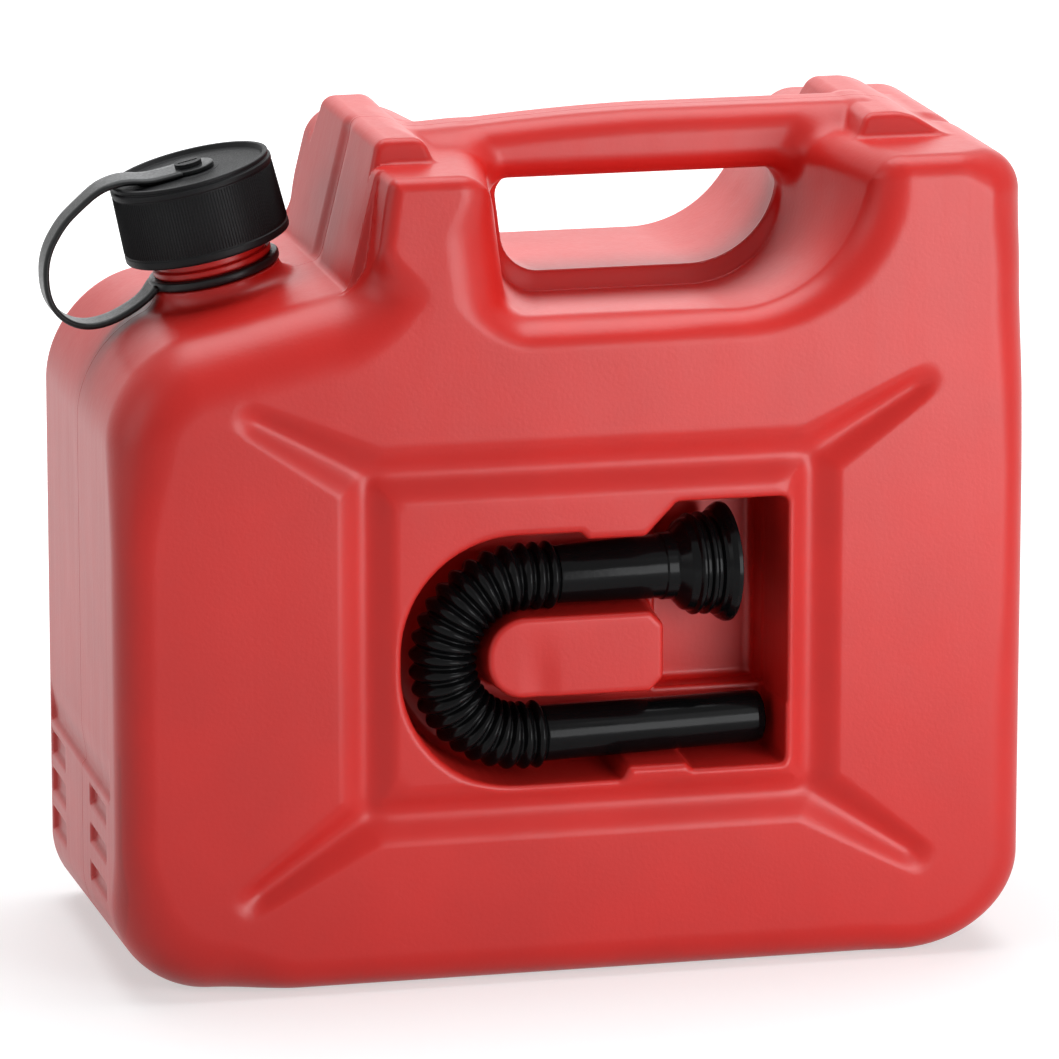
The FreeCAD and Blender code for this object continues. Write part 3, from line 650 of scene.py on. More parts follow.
def smooth(piece):
    piece.data.polygons.foreach_set("use_smooth", [True] * len(piece.data.polygons))
    piece.data.update()
    return piece


def plain_mesh(piece):
    """Applies the modifiers: the evaluated mesh replaces the one they started from."""
    depsgraph = bpy.context.evaluated_depsgraph_get()
    mesh = bpy.data.meshes.new_from_object(piece.evaluated_get(depsgraph), depsgraph=depsgraph)
    piece.modifiers.clear()
    old = piece.data
    piece.data = mesh
    bpy.data.meshes.remove(old)
    mesh.name = piece.name
    return piece


def tidy_normals(piece):
    """Merges doubles and turns every face outward."""
    shell = bmesh.new()
    shell.from_mesh(piece.data)
    bmesh.ops.remove_doubles(shell, verts=shell.verts, dist=1e-6)
    bmesh.ops.recalc_face_normals(shell, faces=shell.faces)
    shell.to_mesh(piece.data)
    shell.free()
    return piece


def soft_profile(corners, arc_points=5):
    """Closed profile of (radius, height, round) corners, each rounded into an arc."""
    points = []
    for i, (_, _, radius) in enumerate(corners):
        here, before, after, opening, shorter = corner_arms(corners, i)
        if radius <= 0 or opening > pi - 0.02:
            points.append(here)
            continue
        back = min(radius / tan(opening / 2), 0.45 * shorter)
        start = here + before * back
        end = here + after * back
        for share in np.linspace(0, 1, arc_points):
            rest = 1 - share
            points.append(rest ** 2 * start + 2 * share * rest * here + share ** 2 * end)
    return points


def round_axis(radius, angle, height):
    """A point beside the local height axis."""
    return Vector((radius * cos(angle), radius * sin(angle), height))


def lathe(name, corners, place, segments=96):
    """Rounded profile turned about the local height axis."""
    profile = soft_profile(corners)
    count = len(profile)
    points = []
    faces = []
    for i in range(segments):
        turn = 2 * pi * i / segments
        points += [place @ round_axis(radius, turn, height) for radius, height in profile]
        near = i * count
        far = (i + 1) % segments * count
        for j in range(count):
            k = (j + 1) % count
            faces.append((near + j, far + j, far + k, near + k))
    return smooth(tidy_normals(new_object(name, points, faces)))


def loft(name, rings):
    """Closed rings of points joined into a tube with flat ends."""
    count = len(rings[0])
    points = [point for ring in rings for point in ring]
    last = len(points) - count
    faces = []
    for near in range(0, last, count):
        for j in range(count):
            k = (j + 1) % count
            faces.append((near + j, near + k, near + count + k, near + count + j))
    faces.append(tuple(range(count))[::-1])
    faces.append(tuple(range(last, last + count)))
    return smooth(tidy_normals(new_object(name, points, faces)))


def neck_place():
    """From neck coordinates to canister coordinates, in millimetres."""
    along = Vector((-sin(SHOULDER_SLOPE), 0, cos(SHOULDER_SLOPE)))
    across = Vector((cos(SHOULDER_SLOPE), 0, sin(SHOULDER_SLOPE)))
    turn = Matrix((across, Vector((0, 1, 0)), along)).transposed().to_4x4()
    return Matrix.Translation((NECK_X, 0, NECK_Z)) @ turn


def spout_place():
    """From the spout's flat frame to canister coordinates."""
    return Matrix.Translation((0, SPOUT_Y, 0)) @ Matrix.Rotation(SPOUT_YAW, 4, "Z")


def arm_place(height):
    """From a turned spout piece, its axis along local Z, to its arm in the compartment."""
    lie_down = Matrix(((0, 0, 1), (0, 1, 0), (-1, 0, 0))).to_4x4()
    return spout_place() @ Matrix.Translation((0, 0, height)) @ lie_down


def paint(piece, slot):
    """Gives a piece the finish of a material slot."""
    piece.data.materials.clear()
    piece.data.materials.append(material(slot))


def finish_piece(piece, body, slot, *nodes):
    """Gives a piece its finish, the body it rides on and the CAD node it stands for."""
    paint(piece, slot)
    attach(piece, body)
    if nodes:
        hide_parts(*nodes)


# Node trees


class Nodes:
    """A node tree, and shorthand for wiring it."""

    def __init__(self, tree):
        self.tree = tree

    def plug(self, value, socket):
        """Links a socket to the value if that is one too, and sets it if it is a number."""
        if isinstance(value, bpy.types.NodeSocket):
            self.tree.links.new(value, socket)
        else:
            socket.default_value = value

    def node(self, kind, settings=None, **values):
        """A new node. Inputs are given by name, or by place as i0, i1 and so on."""
        node = self.tree.nodes.new(kind)
        for key, value in (settings or {}).items():
            setattr(node, key, value)
        for key, value in values.items():
            name = int(key[1:]) if key[1:].isdigit() else key.replace("_", " ")
            self.plug(value, node.inputs[name])
        return node

    def math(self, operation, *values):
        inputs = {f"i{i}": value for i, value in enumerate(values)}
        return self.node("ShaderNodeMath", {"operation": operation}, **inputs).outputs[0]

    def spread(self, value, low, high, to_low, to_high, smooth_step=False):
        """The value's range from low to high, drawn out to another range."""
        kind = {"interpolation_type": "SMOOTHSTEP" if smooth_step else "LINEAR"}
        ends = {"i1": low, "i2": high, "i3": to_low, "i4": to_high}
        return self.node("ShaderNodeMapRange", kind, i0=value, **ends).outputs[0]


class GeometryTree(Nodes):
    """A geometry node group with named inputs."""

    def __init__(self, name):
        super().__init__(bpy.data.node_groups.new(name, "GeometryNodeTree"))
        kind = "NodeSocketGeometry"
        for way in ("INPUT", "OUTPUT"):
            self.tree.interface.new_socket("Geometry", in_out=way, socket_type=kind)
        self.start = self.tree.nodes.new("NodeGroupInput").outputs
        self.end = self.tree.nodes.new("NodeGroupOutput").inputs

    def input(self, name, kind, default=None):
        socket = self.tree.interface.new_socket(name, in_out="INPUT", socket_type=kind)
        if default is not None:
            socket.default_value = default
        return self.start[name]

    def finish(self, geometry):
        """Realizes instances, sets the material and closes the tree."""
        paint_input = self.input("Material", "NodeSocketMaterial")
        real = self.node("GeometryNodeRealizeInstances", i0=geometry)
        painted = self.node("GeometryNodeSetMaterial", i0=real.outputs[0], Material=paint_input)
        self.plug(painted.outputs[0], self.end[0])

    def apply(self, piece, **values):
        """Runs the tree on a piece and keeps the result as its plain mesh."""
        modifier = piece.modifiers.new("Build", "NODES")
        modifier.node_group = self.tree
        for item in self.tree.interface.items_tree:
            key = item.name.replace(" ", "_")
            if item.in_out == "INPUT" and key in values:
                modifier[item.identifier] = values[key]
        return plain_mesh(piece)


# Finishes


class Finish(Nodes):
    """A procedural material on object coordinates."""

    def __init__(self, name, roughness, specular=0.5):
        self.material = bpy.data.materials.new(name)
        self.material.use_nodes = True
        super().__init__(self.material.node_tree)
        self.shader = self.tree.nodes["Principled BSDF"].inputs
        self.plug(specular, self.shader["Specular IOR Level"])
        self.plug(roughness, self.shader["Roughness"])
        self.coordinates = self.node("ShaderNodeTexCoord").outputs["Object"]
        self.normal = None

    def noise(self, scale, stretch=(1, 1, 1), detail=2.0, roughness=0.5):
        mapping = self.node("ShaderNodeMapping", Vector=self.coordinates, Scale=stretch)
        noise = self.node(
            "ShaderNodeTexNoise", Vector=mapping.outputs[0], Scale=scale, Detail=detail,
            Roughness=roughness,
        )
        return noise.outputs["Fac"]

    def bump(self, height, distance, strength=1.0):
        """Adds bumps of a height in metres to those made before."""
        node = self.node("ShaderNodeBump", Height=height, Distance=distance, Strength=strength)
        if self.normal is not None:
            self.plug(self.normal, node.inputs["Normal"])
        self.normal = node.outputs[0]
        self.plug(self.normal, self.shader["Normal"])

    def colours(self, share, colour, darkest, palest):
        """The colour times a factor from darkest at share 0 to palest at share 1."""
        dark, pale = [
            (*(channel * factor for channel in colour), 1) for factor in (darkest, palest)
        ]
        node = self.node("ShaderNodeMix", {"data_type": "RGBA"}, Factor=share, A=dark, B=pale)
        self.plug(node.outputs["Result"], self.shader["Base Color"])

    def vary_roughness(self, share, low, high):
        self.plug(self.spread(share, 0.3, 0.7, low, high), self.shader["Roughness"])


def painted_pad_shade(finish, place):
    """Share of painted shade, a darker colour, on the floors of the end face's finger pads."""
    share = finish.spread(place["X"], -0.1746, -0.1736, 0, 0.3, True)
    for limit in (
        (place["X"], -0.1712, -0.1704, 1, 0),
        (finish.math("ABSOLUTE", place["Y"]), 0.0745, 0.0755, 1, 0),
        (place["Z"], 0.094, 0.096, 1, 0),
        (place["Z"], 0.012, 0.014, 0, 1),
    ):
        share = finish.math("MULTIPLY", share, finish.spread(*limit))
    return share


def red_polyethylene(settings):
    """Blow-moulded polyethylene: satin, faint orange peel, upright die lines, a parting line, and
    painted shade on the finger pads' floors.
    """
    finish = Finish("red_polyethylene", settings.red_roughness, 0.38)
    place = finish.node("ShaderNodeSeparateXYZ", i0=finish.coordinates).outputs
    patches = finish.spread(finish.noise(22.0, detail=3.0), 0.35, 0.65, 0.8, 1)
    # Painted shade: the colour is darkened on the floors of the finger pads.
    patches_with_pad_shade = finish.math("SUBTRACT", patches, painted_pad_shade(finish, place))
    finish.colours(patches_with_pad_shade, settings.red, 0.6, 1.03)
    lines = finish.noise(1.0, (420.0, 420.0, 5.0), detail=3.0)
    finish.vary_roughness(lines, settings.red_roughness - 0.012, settings.red_roughness + 0.018)
    finish.bump(lines, 0.00001)
    finish.bump(finish.noise(640.0), 0.00005)
    finish.bump(finish.noise(46.0, (1, 1, 0.6), detail=1.0), 0.0005, 0.5)
    from_middle = finish.math("ABSOLUTE", place["Y"])
    finish.bump(finish.spread(from_middle, 0.0, 0.0007, 1.0, 0.0, True), 0.0003)
    return finish.material


def black_cap_plastic(settings):
    """Matt moulding with a spark-eroded grain."""
    finish = Finish("black_cap_plastic", 0.5, 0.14)
    finish.colours(finish.noise(60.0, detail=3.0), settings.cap_black, 0.85, 1.2)
    specks = finish.noise(1500.0, detail=3.0, roughness=0.6)
    finish.vary_roughness(specks, 0.42, 0.58)
    finish.bump(specks, 0.00006)
    finish.bump(finish.noise(330.0), 0.00005)
    return finish.material


def black_strap_plastic(settings):
    """Satin, a little greyer than the cap."""
    finish = Finish("black_strap_plastic", 0.36, 0.2)
    finish.colours(finish.noise(90.0, detail=3.0), settings.strap_black, 0.9, 1.15)
    grain = finish.noise(900.0)
    finish.vary_roughness(grain, 0.3, 0.42)
    finish.bump(grain, 0.00003)
    return finish.material


def black_spout_plastic(settings):
    """Glossy, with faint flow lines along the spout."""
    finish = Finish("black_spout_plastic", 0.15, 0.09)
    finish.colours(finish.noise(70.0, detail=3.0), settings.spout_black, 0.9, 1.2)
    flow = finish.noise(1.0, (40.0, 260.0, 260.0), detail=3.0)
    finish.vary_roughness(flow, 0.13, 0.2)
    finish.bump(flow, 0.00003)
    finish.bump(finish.noise(700.0), 0.00002)
    return finish.material


def seal_rubber(settings):
    """Dull and even."""
    finish = Finish("seal_rubber", 0.6)
    finish.colours(finish.noise(120.0, detail=3.0), settings.seal_black, 0.9, 1.15)
    finish.bump(finish.noise(1100.0), 0.00004)
    return finish.material


MATERIAL_MAKERS = {
    maker.__name__: maker
    for maker in (
        red_polyethylene, black_cap_plastic, black_strap_plastic, black_spout_plastic, seal_rubber,
    )
}


def material(name):
    """The named finish, made the first time it is asked for."""
    found = bpy.data.materials.get(name)
    if found is None or not found.get("canister"):
        if found is not None:
            found.name = name + "_plain"
        found = MATERIAL_MAKERS[name](bpy.context.scene.canister_finish)
        found["canister"] = True
    return found


# Settings


def length_setting(name, text, default, **limits):
    return FloatProperty(name=name, description=text, default=default, unit="LENGTH", **limits)


def power_setting(name, text, default):
    return FloatProperty(name=name, description=text, default=default, unit="POWER")


def angle_setting(name, text, default):
    return FloatProperty(name=name, description=text, default=default, subtype="ANGLE")


def share_setting(name, text, default):
    return FloatProperty(name=name, description=text, default=default, min=0, max=1)


def colour_setting(name, text, default):
    return FloatVectorProperty(
        name=name, description=text, default=default, subtype="COLOR", size=3, min=0, max=1,
    )


def count_setting(name, text, default, low, high):
    return IntProperty(name=name, description=text, default=default, min=low, max=high)


class ContainerSettings(bpy.types.PropertyGroup):
    mesh_step: length_setting(
        "Mesh Step", "Grid step that the container's surface is sampled on",
        0.0013, min=0.0008, max=0.01,
    )
    triangles: count_setting(
        "Triangles", "Most triangles that the container keeps", 188000, 20000, 199000,
    )
    edge_round: length_setting("Edge Round", "Radius of the broad faces' edges", 0.0145)
    shoulder_edge_round: length_setting(
        "Shoulder Edge Round", "Radius of the broad faces' edges round the shoulder", 0.027,
    )
    groove_depth: length_setting("Groove Depth", "Depth of the groove frame and its rays", 0.005)
    groove_width: length_setting("Groove Width", "Width of the groove frame at the face", 0.024)
    recess_rim_round: length_setting(
        "Compartment Rim Round", "Radius of the compartment's rim", 0.003,
    )
    pad_depth: length_setting("Pad Depth", "Depth of the finger pads in the front end", 0.002)


class CapSettings(bpy.types.PropertyGroup):
    ridge_count: count_setting("Ridges", "Upright grip ridges round the cap", 168, 12, 360)
    ridge_height: length_setting("Ridge Height", "How far a grip ridge stands out", 0.00045)
    ridge_width: length_setting("Ridge Width", "Width of a grip ridge", 0.0008)


class TetherSettings(bpy.types.PropertyGroup):
    width: length_setting("Strap Width", "Width of the strap", 0.0135)
    thickness: length_setting("Strap Thickness", "Thickness of the strap", 0.0022)


class SpoutSettings(bpy.types.PropertyGroup):
    rib_count: count_setting("Ribs", "Ribs along the hose", 23, 4, 60)
    crest_radius: length_setting("Crest Radius", "Radius of the hose over a rib", 0.0129)
    root_radius: length_setting("Root Radius", "Radius of the hose between ribs", 0.0104)


class FinishSettings(bpy.types.PropertyGroup):
    red: colour_setting("Red", "Colour of the container", (0.56, 0.016, 0.012))
    red_roughness: share_setting("Red Roughness", "Roughness of the container", 0.38)
    cap_black: colour_setting("Cap Black", "Colour of the cap", (0.006, 0.006, 0.0066))
    strap_black: colour_setting("Strap Black", "Colour of the tether", (0.012, 0.0125, 0.013))
    spout_black: colour_setting("Spout Black", "Colour of the spout", (0.003, 0.003, 0.0033))
    seal_black: colour_setting("Seal Black", "Colour of the gasket", (0.04, 0.04, 0.04))


class StageSettings(bpy.types.PropertyGroup):
    key_power: power_setting("Key Power", "Power of the large light on the upper right", 3.5)
    side_power: power_setting("Side Power", "Power of the low light beside the camera", 7.4)
    back_power: power_setting("Back Power", "Power of the light behind the canister", 4.5)
    top_power: power_setting("Top Power", "Power of the overhead light", 36.0)
    left_power: power_setting("Left Power", "Power of the fill light on the left", 6.0)
    surroundings: share_setting("Surroundings", "Strength of the pale surroundings as light", 0.1)
    camera_distance: length_setting("Camera Distance", "From the aim point to the camera", 3.0)
    camera_turn: angle_setting(
        "Camera Turn", "How far the camera stands to the left of the broad face", radians(13.198),
    )
    camera_height: angle_setting(
        "Camera Elevation", "Angle at which the camera looks down", radians(13.306),
    )


# Operators


class CANISTER_OT_container(bpy.types.Operator):
    """Build the moulded container and its threaded neck"""

    bl_idname = "canister.container"
    bl_label = "Container"

    def execute(self, context):
        settings = context.scene.canister_container
        shape = MouldedContainer(settings)
        step = mm(settings.mesh_step)
        margin = 3 * step
        low = (-HALF_LENGTH - margin, -HALF_WIDTH - margin, -margin)
        high = (HALF_LENGTH + margin, HALF_WIDTH + margin, HEIGHT + margin)
        points, faces = surface_net(shape, low, high, step)
        for limit in (0.9, 0.6, 0.4):
            points = shape.settle(points, limit * step)
        piece = new_object("container_shell", points, faces)
        triangles = 2 * len(faces)
        if triangles > settings.triangles:
            thin = piece.modifiers.new("Thin", "DECIMATE")
            thin.ratio = settings.triangles / triangles
            plain_mesh(piece)
        self.fit_to_surface(piece, shape, step)
        finish_piece(piece, "container", "red_polyethylene", "container")
        finish_piece(self.neck(), "container", "red_polyethylene")
        finish_piece(self.thread(), "container", "red_polyethylene")
        return {"FINISHED"}

    def fit_to_surface(self, piece, shape, step):
        """Settles the thinned mesh once more and takes its normals from the shape."""
        points = np.empty(len(piece.data.vertices) * 3)
        piece.data.vertices.foreach_get("co", points)
        points = shape.settle(points.reshape(-1, 3) / MM, 0.3 * step)
        piece.data.vertices.foreach_set("co", (points * MM).ravel())
        normals = shape.slopes(points)
        normals /= np.maximum(np.linalg.norm(normals, axis=1), 1e-9)[:, None]
        smooth(piece)
        piece.data.normals_split_custom_set_from_vertices(normals.tolist())

    def neck(self):
        """Seat and bead for the tether's ring, waist, and the tube that carries the thread."""
        return lathe("container_neck", (
            (WAIST_BORE, SEAT_LOW, 0.0), (SEAT_RADIUS, SEAT_LOW, 0.0),
            (SEAT_RADIUS, BEAD_LOW, 0.4), (BEAD_RADIUS, BEAD_LOW, 0.5),
            (BEAD_RADIUS, BEAD_HIGH, 0.9), (WAIST_RADIUS, BEAD_HIGH, 0.8),
            (WAIST_RADIUS, WAIST_TOP, 1.0),
            (NECK_ROOT, WAIST_TOP + 3.6, 1.0), (NECK_ROOT, NECK_RIM, 0.9),
            (NECK_BORE, NECK_RIM, 0.9), (NECK_BORE, WAIST_TOP + 3.0, 1.0),
            (WAIST_BORE, WAIST_TOP, 1.0),
        ), neck_place())

    def thread(self):
        """Right-handed ridge that climbs round the neck and fades at both ends."""
        place = neck_place()
        rings = []
        for share in np.arange(THREAD_STEPS + 1) / THREAD_STEPS:
            turn = 2 * pi * THREAD_TURNS * share
            height = THREAD_LOW + THREAD_PITCH * THREAD_TURNS * share
            fade = min(1.0, 16 * share, 16 * (1 - share))
            rings.append([
                place @ round_axis(NECK_ROOT + (out * fade if out > 0 else out), turn, height + up)
                for out, up in THREAD_SECTION
            ])
        return loft("neck_thread", rings)


class CANISTER_OT_cap(bpy.types.Operator):
    """Build the screw cap with its grip ridges"""

    bl_idname = "canister.cap"
    bl_label = "Screw Cap"

    def execute(self, context):
        settings = context.scene.canister_cap
        low = [(CAP_RADIUS_LOW - inset, CAP_LOW + up, bend) for inset, up, bend in CAP_SKIRT]
        high = [(CAP_RADIUS_HIGH - inset, CAP_RIM - down, bend) for inset, down, bend in CAP_CROWN]
        body = lathe("screw_cap_body", [
            (CAP_BORE, CAP_LOW, 0.5), *low, *high,
            (CAP_RADIUS_HIGH - 3.4, CAP_TOP, 0.5), (11.5, CAP_TOP, 0.3),
            (11.0, CAP_TOP + 0.2, 0.2), (CAP_HOLE, CAP_TOP + 0.2, 0.2),
            (CAP_HOLE, CAP_INNER_TOP, 0.2), (CAP_BORE, CAP_INNER_TOP, 0.4),
        ], neck_place(), 128)
        finish_piece(body, "cap", "black_cap_plastic", "screw_cap")
        finish_piece(self.ridges(settings), "cap", "black_cap_plastic")
        paint(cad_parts["cap_gasket"], "seal_rubber")
        return {"FINISHED"}

    def ridge(self, settings):
        """One upright ridge of the grip: four rows of five points, and a back inside the cap."""
        half = mm(settings.ridge_width) / 2
        low, base = CAP_RADIUS_LOW - 0.55, CAP_LOW + 3.6
        high, top = CAP_RADIUS_HIGH - 0.5, CAP_RIM - 4.5
        points = []
        for radius, level, share in (
            (low, base, 0.0), (low, base + 0.7, 1.0), (high, top - 0.7, 1.0), (high, top, 0.0),
        ):
            for turn in np.linspace(-1, 1, 5):
                out = mm(settings.ridge_height) * share * (1 - turn * turn) - 0.15 * abs(turn)
                points.append((radius + out, half * turn, level))
        faces = [(i, i + 1, i + 6, i + 5) for row in (0, 5, 10) for i in range(row, row + 4)]
        points += [(points[0][0] - 0.6, *points[i][1:]) for i in (0, 4, 19, 15)]
        faces += [
            (20, 21, 4, 3, 2, 1, 0), (15, 16, 17, 18, 19, 22, 23), (23, 20, 0, 5, 10, 15),
            (21, 22, 19, 14, 9, 4), (23, 22, 21, 20),
        ]
        return smooth(tidy_normals(new_object("screw_cap_ridges", points, faces)))

    def ridges(self, settings):
        """The ridge, repeated round the cap's side by a node tree."""
        ridge = self.ridge(settings)
        tree = GeometryTree("Repeat Round Axis")
        count = tree.input("Count", "NodeSocketInt", 12)
        circle = tree.node("GeometryNodePoints", Count=count)
        index = tree.node("GeometryNodeInputIndex").outputs[0]
        turn = tree.math("MULTIPLY", tree.math("DIVIDE", index, count), 2 * pi)
        spread = tree.node(
            "GeometryNodeInstanceOnPoints", Points=circle.outputs[0],
            Instance=tree.start["Geometry"],
            Rotation=tree.node("ShaderNodeCombineXYZ", Z=turn).outputs[0],
        )
        tree.finish(spread.outputs[0])
        tree.apply(ridge, Count=settings.ridge_count, Material=material("black_cap_plastic"))
        place = neck_place()
        place.translation *= MM
        ridge.data.transform(place)
        return smooth(ridge)


class CANISTER_OT_tether(bpy.types.Operator):
    """Build the cap's tether: neck ring, strap and eye; paint the pin through the eye"""

    bl_idname = "canister.tether"
    bl_label = "Tether"

    def execute(self, context):
        settings = context.scene.canister_tether
        slot = "black_strap_plastic"
        place = neck_place()
        curve = self.smooth_line(self.strap_line(place))
        strap = loft("tether_strap", self.strap_rings(settings, curve, place.inverted()))
        paint(strap, slot)
        ring_top = RING_LOW + RING_THICKNESS
        ring = lathe("tether_ring", (
            (RING_INNER, RING_LOW, 0.5), (RING_OUTER, RING_LOW, 1.2),
            (RING_OUTER, ring_top, 1.2), (RING_INNER, ring_top, 0.5),
        ), place)
        finish_piece(ring, "container", slot)
        eye_top = EYE_LOW + EYE_THICKNESS
        eye = lathe("tether_eye", (
            (EYE_BORE, EYE_LOW, 0.2), (EYE_RADIUS, EYE_LOW, 0.4),
            (EYE_RADIUS, eye_top, 0.5), (EYE_BORE, eye_top, 0.2),
        ), place)
        finish_piece(eye, "tether_pin", slot)
        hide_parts("cap_tether")
        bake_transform(strap)
        paint(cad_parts["tether_pin"], "black_cap_plastic")
        return {"FINISHED"}

    def strap_line(self, place):
        """Corners (x, z) of the strap's route from the neck ring to the eye."""
        tab = place @ Vector(((-RING_OUTER - RING_INNER) / 2, 0, RING_LOW + RING_THICKNESS / 2))
        corners = [(tab.x, tab.z), *STRAP_ROUTE]
        level = EYE_LOW + EYE_THICKNESS / 2
        for radius, lift in STRAP_OVER_CAP:
            spot = place @ Vector((-radius, 0, level + lift))
            corners.append((spot.x, spot.z))
        return corners

    def smooth_line(self, corners):
        """Evenly spaced points on a smooth curve near the corners."""
        line = np.array(corners)
        for _ in range(4):
            cut = [line[0]]
            for a, b in zip(line[:-1], line[1:]):
                cut.append(a * 0.75 + b * 0.25)
                cut.append(a * 0.25 + b * 0.75)
            cut.append(line[-1])
            line = np.array(cut)
        steps = np.linalg.norm(np.diff(line, axis=0), axis=1)
        along = np.concatenate(([0], np.cumsum(steps)))
        even = np.linspace(0, along[-1], STRAP_STEPS)
        return np.stack([np.interp(even, along, line[:, i]) for i in range(2)], 1)

    def strap_rings(self, settings, curve, to_neck):
        """Sections across the strap, wider at the neck ring and over the cap."""
        half = mm(settings.width) / 2
        flat = mm(settings.thickness) / 2
        rings = []
        for i, (spot, run) in enumerate(zip(curve, np.gradient(curve, axis=0))):
            up = np.array((run[1], -run[0])) / np.linalg.norm(run)
            local = to_neck @ Vector((spot[0], 0, spot[1]))
            near_cap = ramp(44.0, 24.0, abs(local.x)) * (local.z > 30)
            near_ring = ramp(0.07, 0.0, i / (STRAP_STEPS - 1))
            wide = half * (1 + 0.36 * near_cap + 0.3 * near_ring)
            ring = []
            for across, out in STRAP_SECTION:
                shift = up * out * flat
                ring.append((spot[0] + shift[0], across * wide, spot[1] + shift[1]))
            rings.append(ring)
        return rings


class CANISTER_OT_spout(bpy.types.Operator):
    """Build the stored spout: bell connector, ribbed hose and outlet pipe"""

    bl_idname = "canister.spout"
    bl_label = "Spout"

    def execute(self, context):
        slot = "black_spout_plastic"
        connector = lathe("spout_connector_body", CONNECTOR_PROFILE, arm_place(UPPER_ARM), 112)
        finish_piece(connector, "spout", slot, "spout_connector")
        pipe = lathe("spout_pipe_body", PIPE_PROFILE, arm_place(LOWER_ARM))
        finish_piece(pipe, "spout", slot, "spout_pipe")
        hose = self.hose(context.scene.canister_spout, slot)
        finish_piece(hose, "spout", slot, "spout_hose")
        return {"FINISHED"}

    def middle_line(self):
        """Points along the hose: a short straight, the half round bend and a short straight."""
        radius = (UPPER_ARM - LOWER_ARM) / 2
        middle = (UPPER_ARM + LOWER_ARM) / 2
        line = [(x, 0, UPPER_ARM) for x in np.linspace(HOSE_ENDS[0], BEND_X, 8)[:-1]]
        for turn in np.linspace(pi / 2, 3 * pi / 2, 97):
            line.append((BEND_X + radius * cos(turn), 0, middle + radius * sin(turn)))
        line += [(x, 0, LOWER_ARM) for x in np.linspace(BEND_X, HOSE_ENDS[1], 6)[1:]]
        place = spout_place()
        return [place @ Vector(point) for point in line]

    def hose(self, settings, slot):
        """Ribs along the hose's middle line, made by a node tree."""
        points = self.middle_line()
        edges = [(i, i + 1) for i in range(len(points) - 1)]
        piece = new_object("spout_hose_ribs", points, [], edges)
        tree = GeometryTree("Ribbed Hose")
        ribs = tree.input("Ribs", "NodeSocketInt", 20)
        crest = tree.input("Crest Radius", "NodeSocketFloat", 0.012)
        root = tree.input("Root Radius", "NodeSocketFloat", 0.01)
        steps = tree.math("ADD", tree.math("MULTIPLY", ribs, STEPS_PER_RIB), 1.0)
        path = tree.node("GeometryNodeMeshToCurve", i0=tree.start["Geometry"])
        even = tree.node("GeometryNodeResampleCurve", Curve=path.outputs[0], Count=steps)
        along = tree.node("GeometryNodeSplineParameter").outputs["Factor"]
        phase = tree.math("MULTIPLY", tree.math("MULTIPLY", along, ribs), 2 * pi)
        wave = tree.math("MULTIPLY", tree.math("SUBTRACT", 1.0, tree.math("COSINE", phase)), 0.5)
        height = tree.math("SUBTRACT", crest, root)
        bulge = tree.math("MULTIPLY", height, tree.math("POWER", wave, RIB_BULGE))
        ring = tree.node("GeometryNodeCurvePrimitiveCircle", Resolution=48, Radius=1.0)
        sweep = tree.node(
            "GeometryNodeCurveToMesh", Curve=even.outputs[0], Profile_Curve=ring.outputs[0],
            Scale=tree.math("ADD", root, bulge), Fill_Caps=True,
        )
        tree.finish(sweep.outputs[0])
        tree.apply(
            piece, Ribs=settings.rib_count, Crest_Radius=settings.crest_radius,
            Root_Radius=settings.root_radius, Material=material(slot),
        )
        return smooth(tidy_normals(piece))


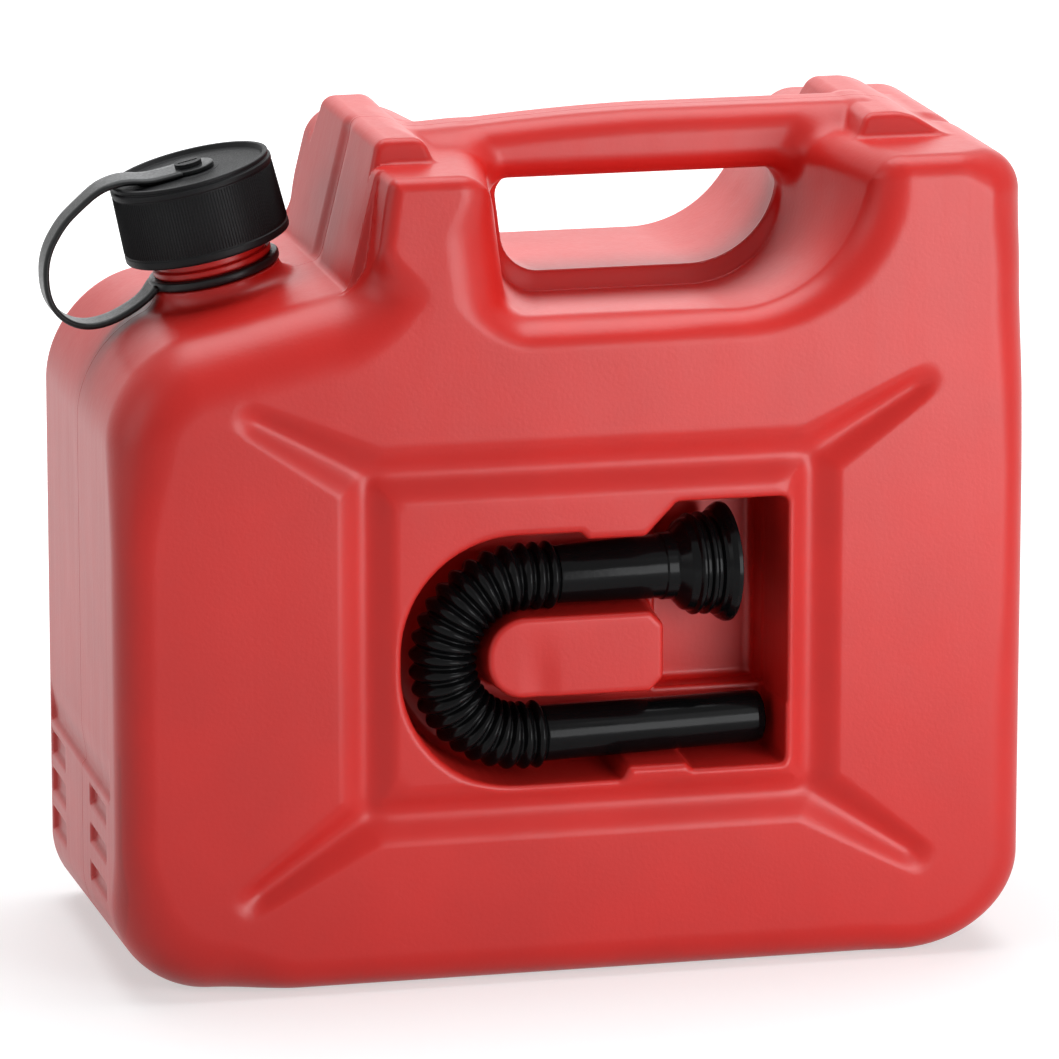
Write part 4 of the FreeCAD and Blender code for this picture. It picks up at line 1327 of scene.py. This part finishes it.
class CANISTER_OT_stage(bpy.types.Operator):
    """Build the floor, the studio light and the camera"""

    bl_idname = "canister.stage"
    bl_label = "Stage"

    def execute(self, context):
        settings = context.scene.canister_stage
        self.floor()
        self.world(settings.surroundings)
        for name, place, width, height, power in LIGHTS:
            self.area(name, Vector(place), width, height, getattr(settings, power))
        self.camera(settings)
        context.scene.view_settings.view_transform = "Standard"
        return {"FINISHED"}

    def seen_mask(self, nodes):
        """1 for rays from the camera, a mirror or through glass, 0 for the rest."""
        path = nodes.node("ShaderNodeLightPath").outputs
        seen = nodes.math("MAXIMUM", path["Is Camera Ray"], path["Is Glossy Ray"])
        return nodes.math("MAXIMUM", seen, path["Is Transmission Ray"])

    def floor(self):
        """A matt floor that glows for the seen rays only, and more the further away."""
        half = mm(FLOOR_HALF)
        corners = ((-half, -half), (half, -half), (half, half), (-half, half))
        points = [(*corner, mm(FLOOR_LEVEL)) for corner in corners]
        floor = new_object("studio_floor", points, [(0, 1, 2, 3)])
        white = bpy.data.materials.new("studio_white")
        white.use_nodes = True
        nodes = Nodes(white.node_tree)
        nodes.tree.nodes.clear()
        matt = nodes.node("ShaderNodeBsdfDiffuse", Color=(FLOOR_GREY, FLOOR_GREY, FLOOR_GREY, 1))
        place = nodes.node("ShaderNodeNewGeometry").outputs["Position"]
        away = nodes.node("ShaderNodeVectorMath", {"operation": "LENGTH"}, i0=place)
        paler = nodes.spread(away.outputs["Value"], *FLOOR_GLOW_REACH, *FLOOR_GLOW, True)
        strength = nodes.math("MULTIPLY", self.seen_mask(nodes), paler)
        glow = nodes.node("ShaderNodeEmission", Strength=strength)
        both = nodes.node("ShaderNodeAddShader", i0=matt.outputs[0], i1=glow.outputs[0])
        nodes.node("ShaderNodeOutputMaterial", Surface=both.outputs[0])
        floor.data.materials.append(white)

    def world(self, strength):
        """White for the seen rays, and a weaker light for the rest."""
        world = bpy.data.worlds.new("studio_surroundings")
        world.use_nodes = True
        nodes = Nodes(world.node_tree)
        sky = nodes.tree.nodes["Background"].inputs
        sky["Color"].default_value = (1, 1, 1, 1)
        mixed = nodes.node("ShaderNodeMix", Factor=self.seen_mask(nodes), A=strength, B=1.0)
        nodes.plug(mixed.outputs["Result"], sky["Strength"])
        bpy.context.scene.world = world

    def area(self, name, place, width, height, power):
        lamp = bpy.data.lights.new(name, "AREA")
        lamp.shape = "RECTANGLE"
        lamp.size = width
        lamp.size_y = height
        lamp.energy = power
        lamp.color = DAYLIGHT
        light = bpy.data.objects.new(name, lamp)
        light.visible_camera = False
        light.location = place
        light.rotation_euler = (Vector(AIM) - place).to_track_quat("-Z", "Y").to_euler()
        bpy.context.scene.collection.objects.link(light)

    def camera(self, settings):
        turn = settings.camera_turn
        rise = settings.camera_height
        back = Vector((-sin(turn) * cos(rise), -cos(turn) * cos(rise), sin(rise)))
        data = bpy.data.cameras.new("camera")
        data.sensor_width = SENSOR_WIDTH
        data.lens = FOCAL_PIXELS / PICTURE_PIXELS * SENSOR_WIDTH
        data.clip_end = VIEW_END
        camera = bpy.data.objects.new("camera", data)
        camera.location = Vector(AIM) + back * settings.camera_distance
        camera.rotation_euler = (-back).to_track_quat("-Z", "Y").to_euler()
        bpy.context.scene.collection.objects.link(camera)
        bpy.context.scene.camera = camera


class CANISTER_PT_panel(bpy.types.Panel):
    bl_label = "Canister"
    bl_idname = "CANISTER_PT_panel"
    bl_space_type = "VIEW_3D"
    bl_region_type = "UI"
    bl_category = "Canister"

    def draw(self, context):
        scene = context.scene
        for operator, settings in SECTIONS:
            box = self.layout.box()
            box.operator(operator.bl_idname)
            group = getattr(scene, settings)
            for name in group.__annotations__:
                box.prop(group, name)
        finish = self.layout.box()
        finish.label(text="Finishes")
        for name in scene.canister_finish.__annotations__:
            finish.prop(scene.canister_finish, name)


SECTIONS = (
    (CANISTER_OT_container, "canister_container"),
    (CANISTER_OT_cap, "canister_cap"),
    (CANISTER_OT_tether, "canister_tether"),
    (CANISTER_OT_spout, "canister_spout"),
    (CANISTER_OT_stage, "canister_stage"),
)
SETTINGS = {
    "canister_container": ContainerSettings,
    "canister_cap": CapSettings,
    "canister_tether": TetherSettings,
    "canister_spout": SpoutSettings,
    "canister_finish": FinishSettings,
    "canister_stage": StageSettings,
}
CLASSES = (
    *SETTINGS.values(),
    *(operator for operator, _ in SECTIONS),
    CANISTER_PT_panel,
)


def register():
    for kind in CLASSES:
        bpy.utils.register_class(kind)
    for name, kind in SETTINGS.items():
        setattr(bpy.types.Scene, name, PointerProperty(type=kind))


def unregister():
    for name in SETTINGS:
        delattr(bpy.types.Scene, name)
    for kind in reversed(CLASSES):
        bpy.utils.unregister_class(kind)


def main():
    register()
    for operator, _ in SECTIONS:
        group, name = operator.bl_idname.split(".")
        getattr(getattr(bpy.ops, group), name)()


if __name__ == "__main__":
    main()
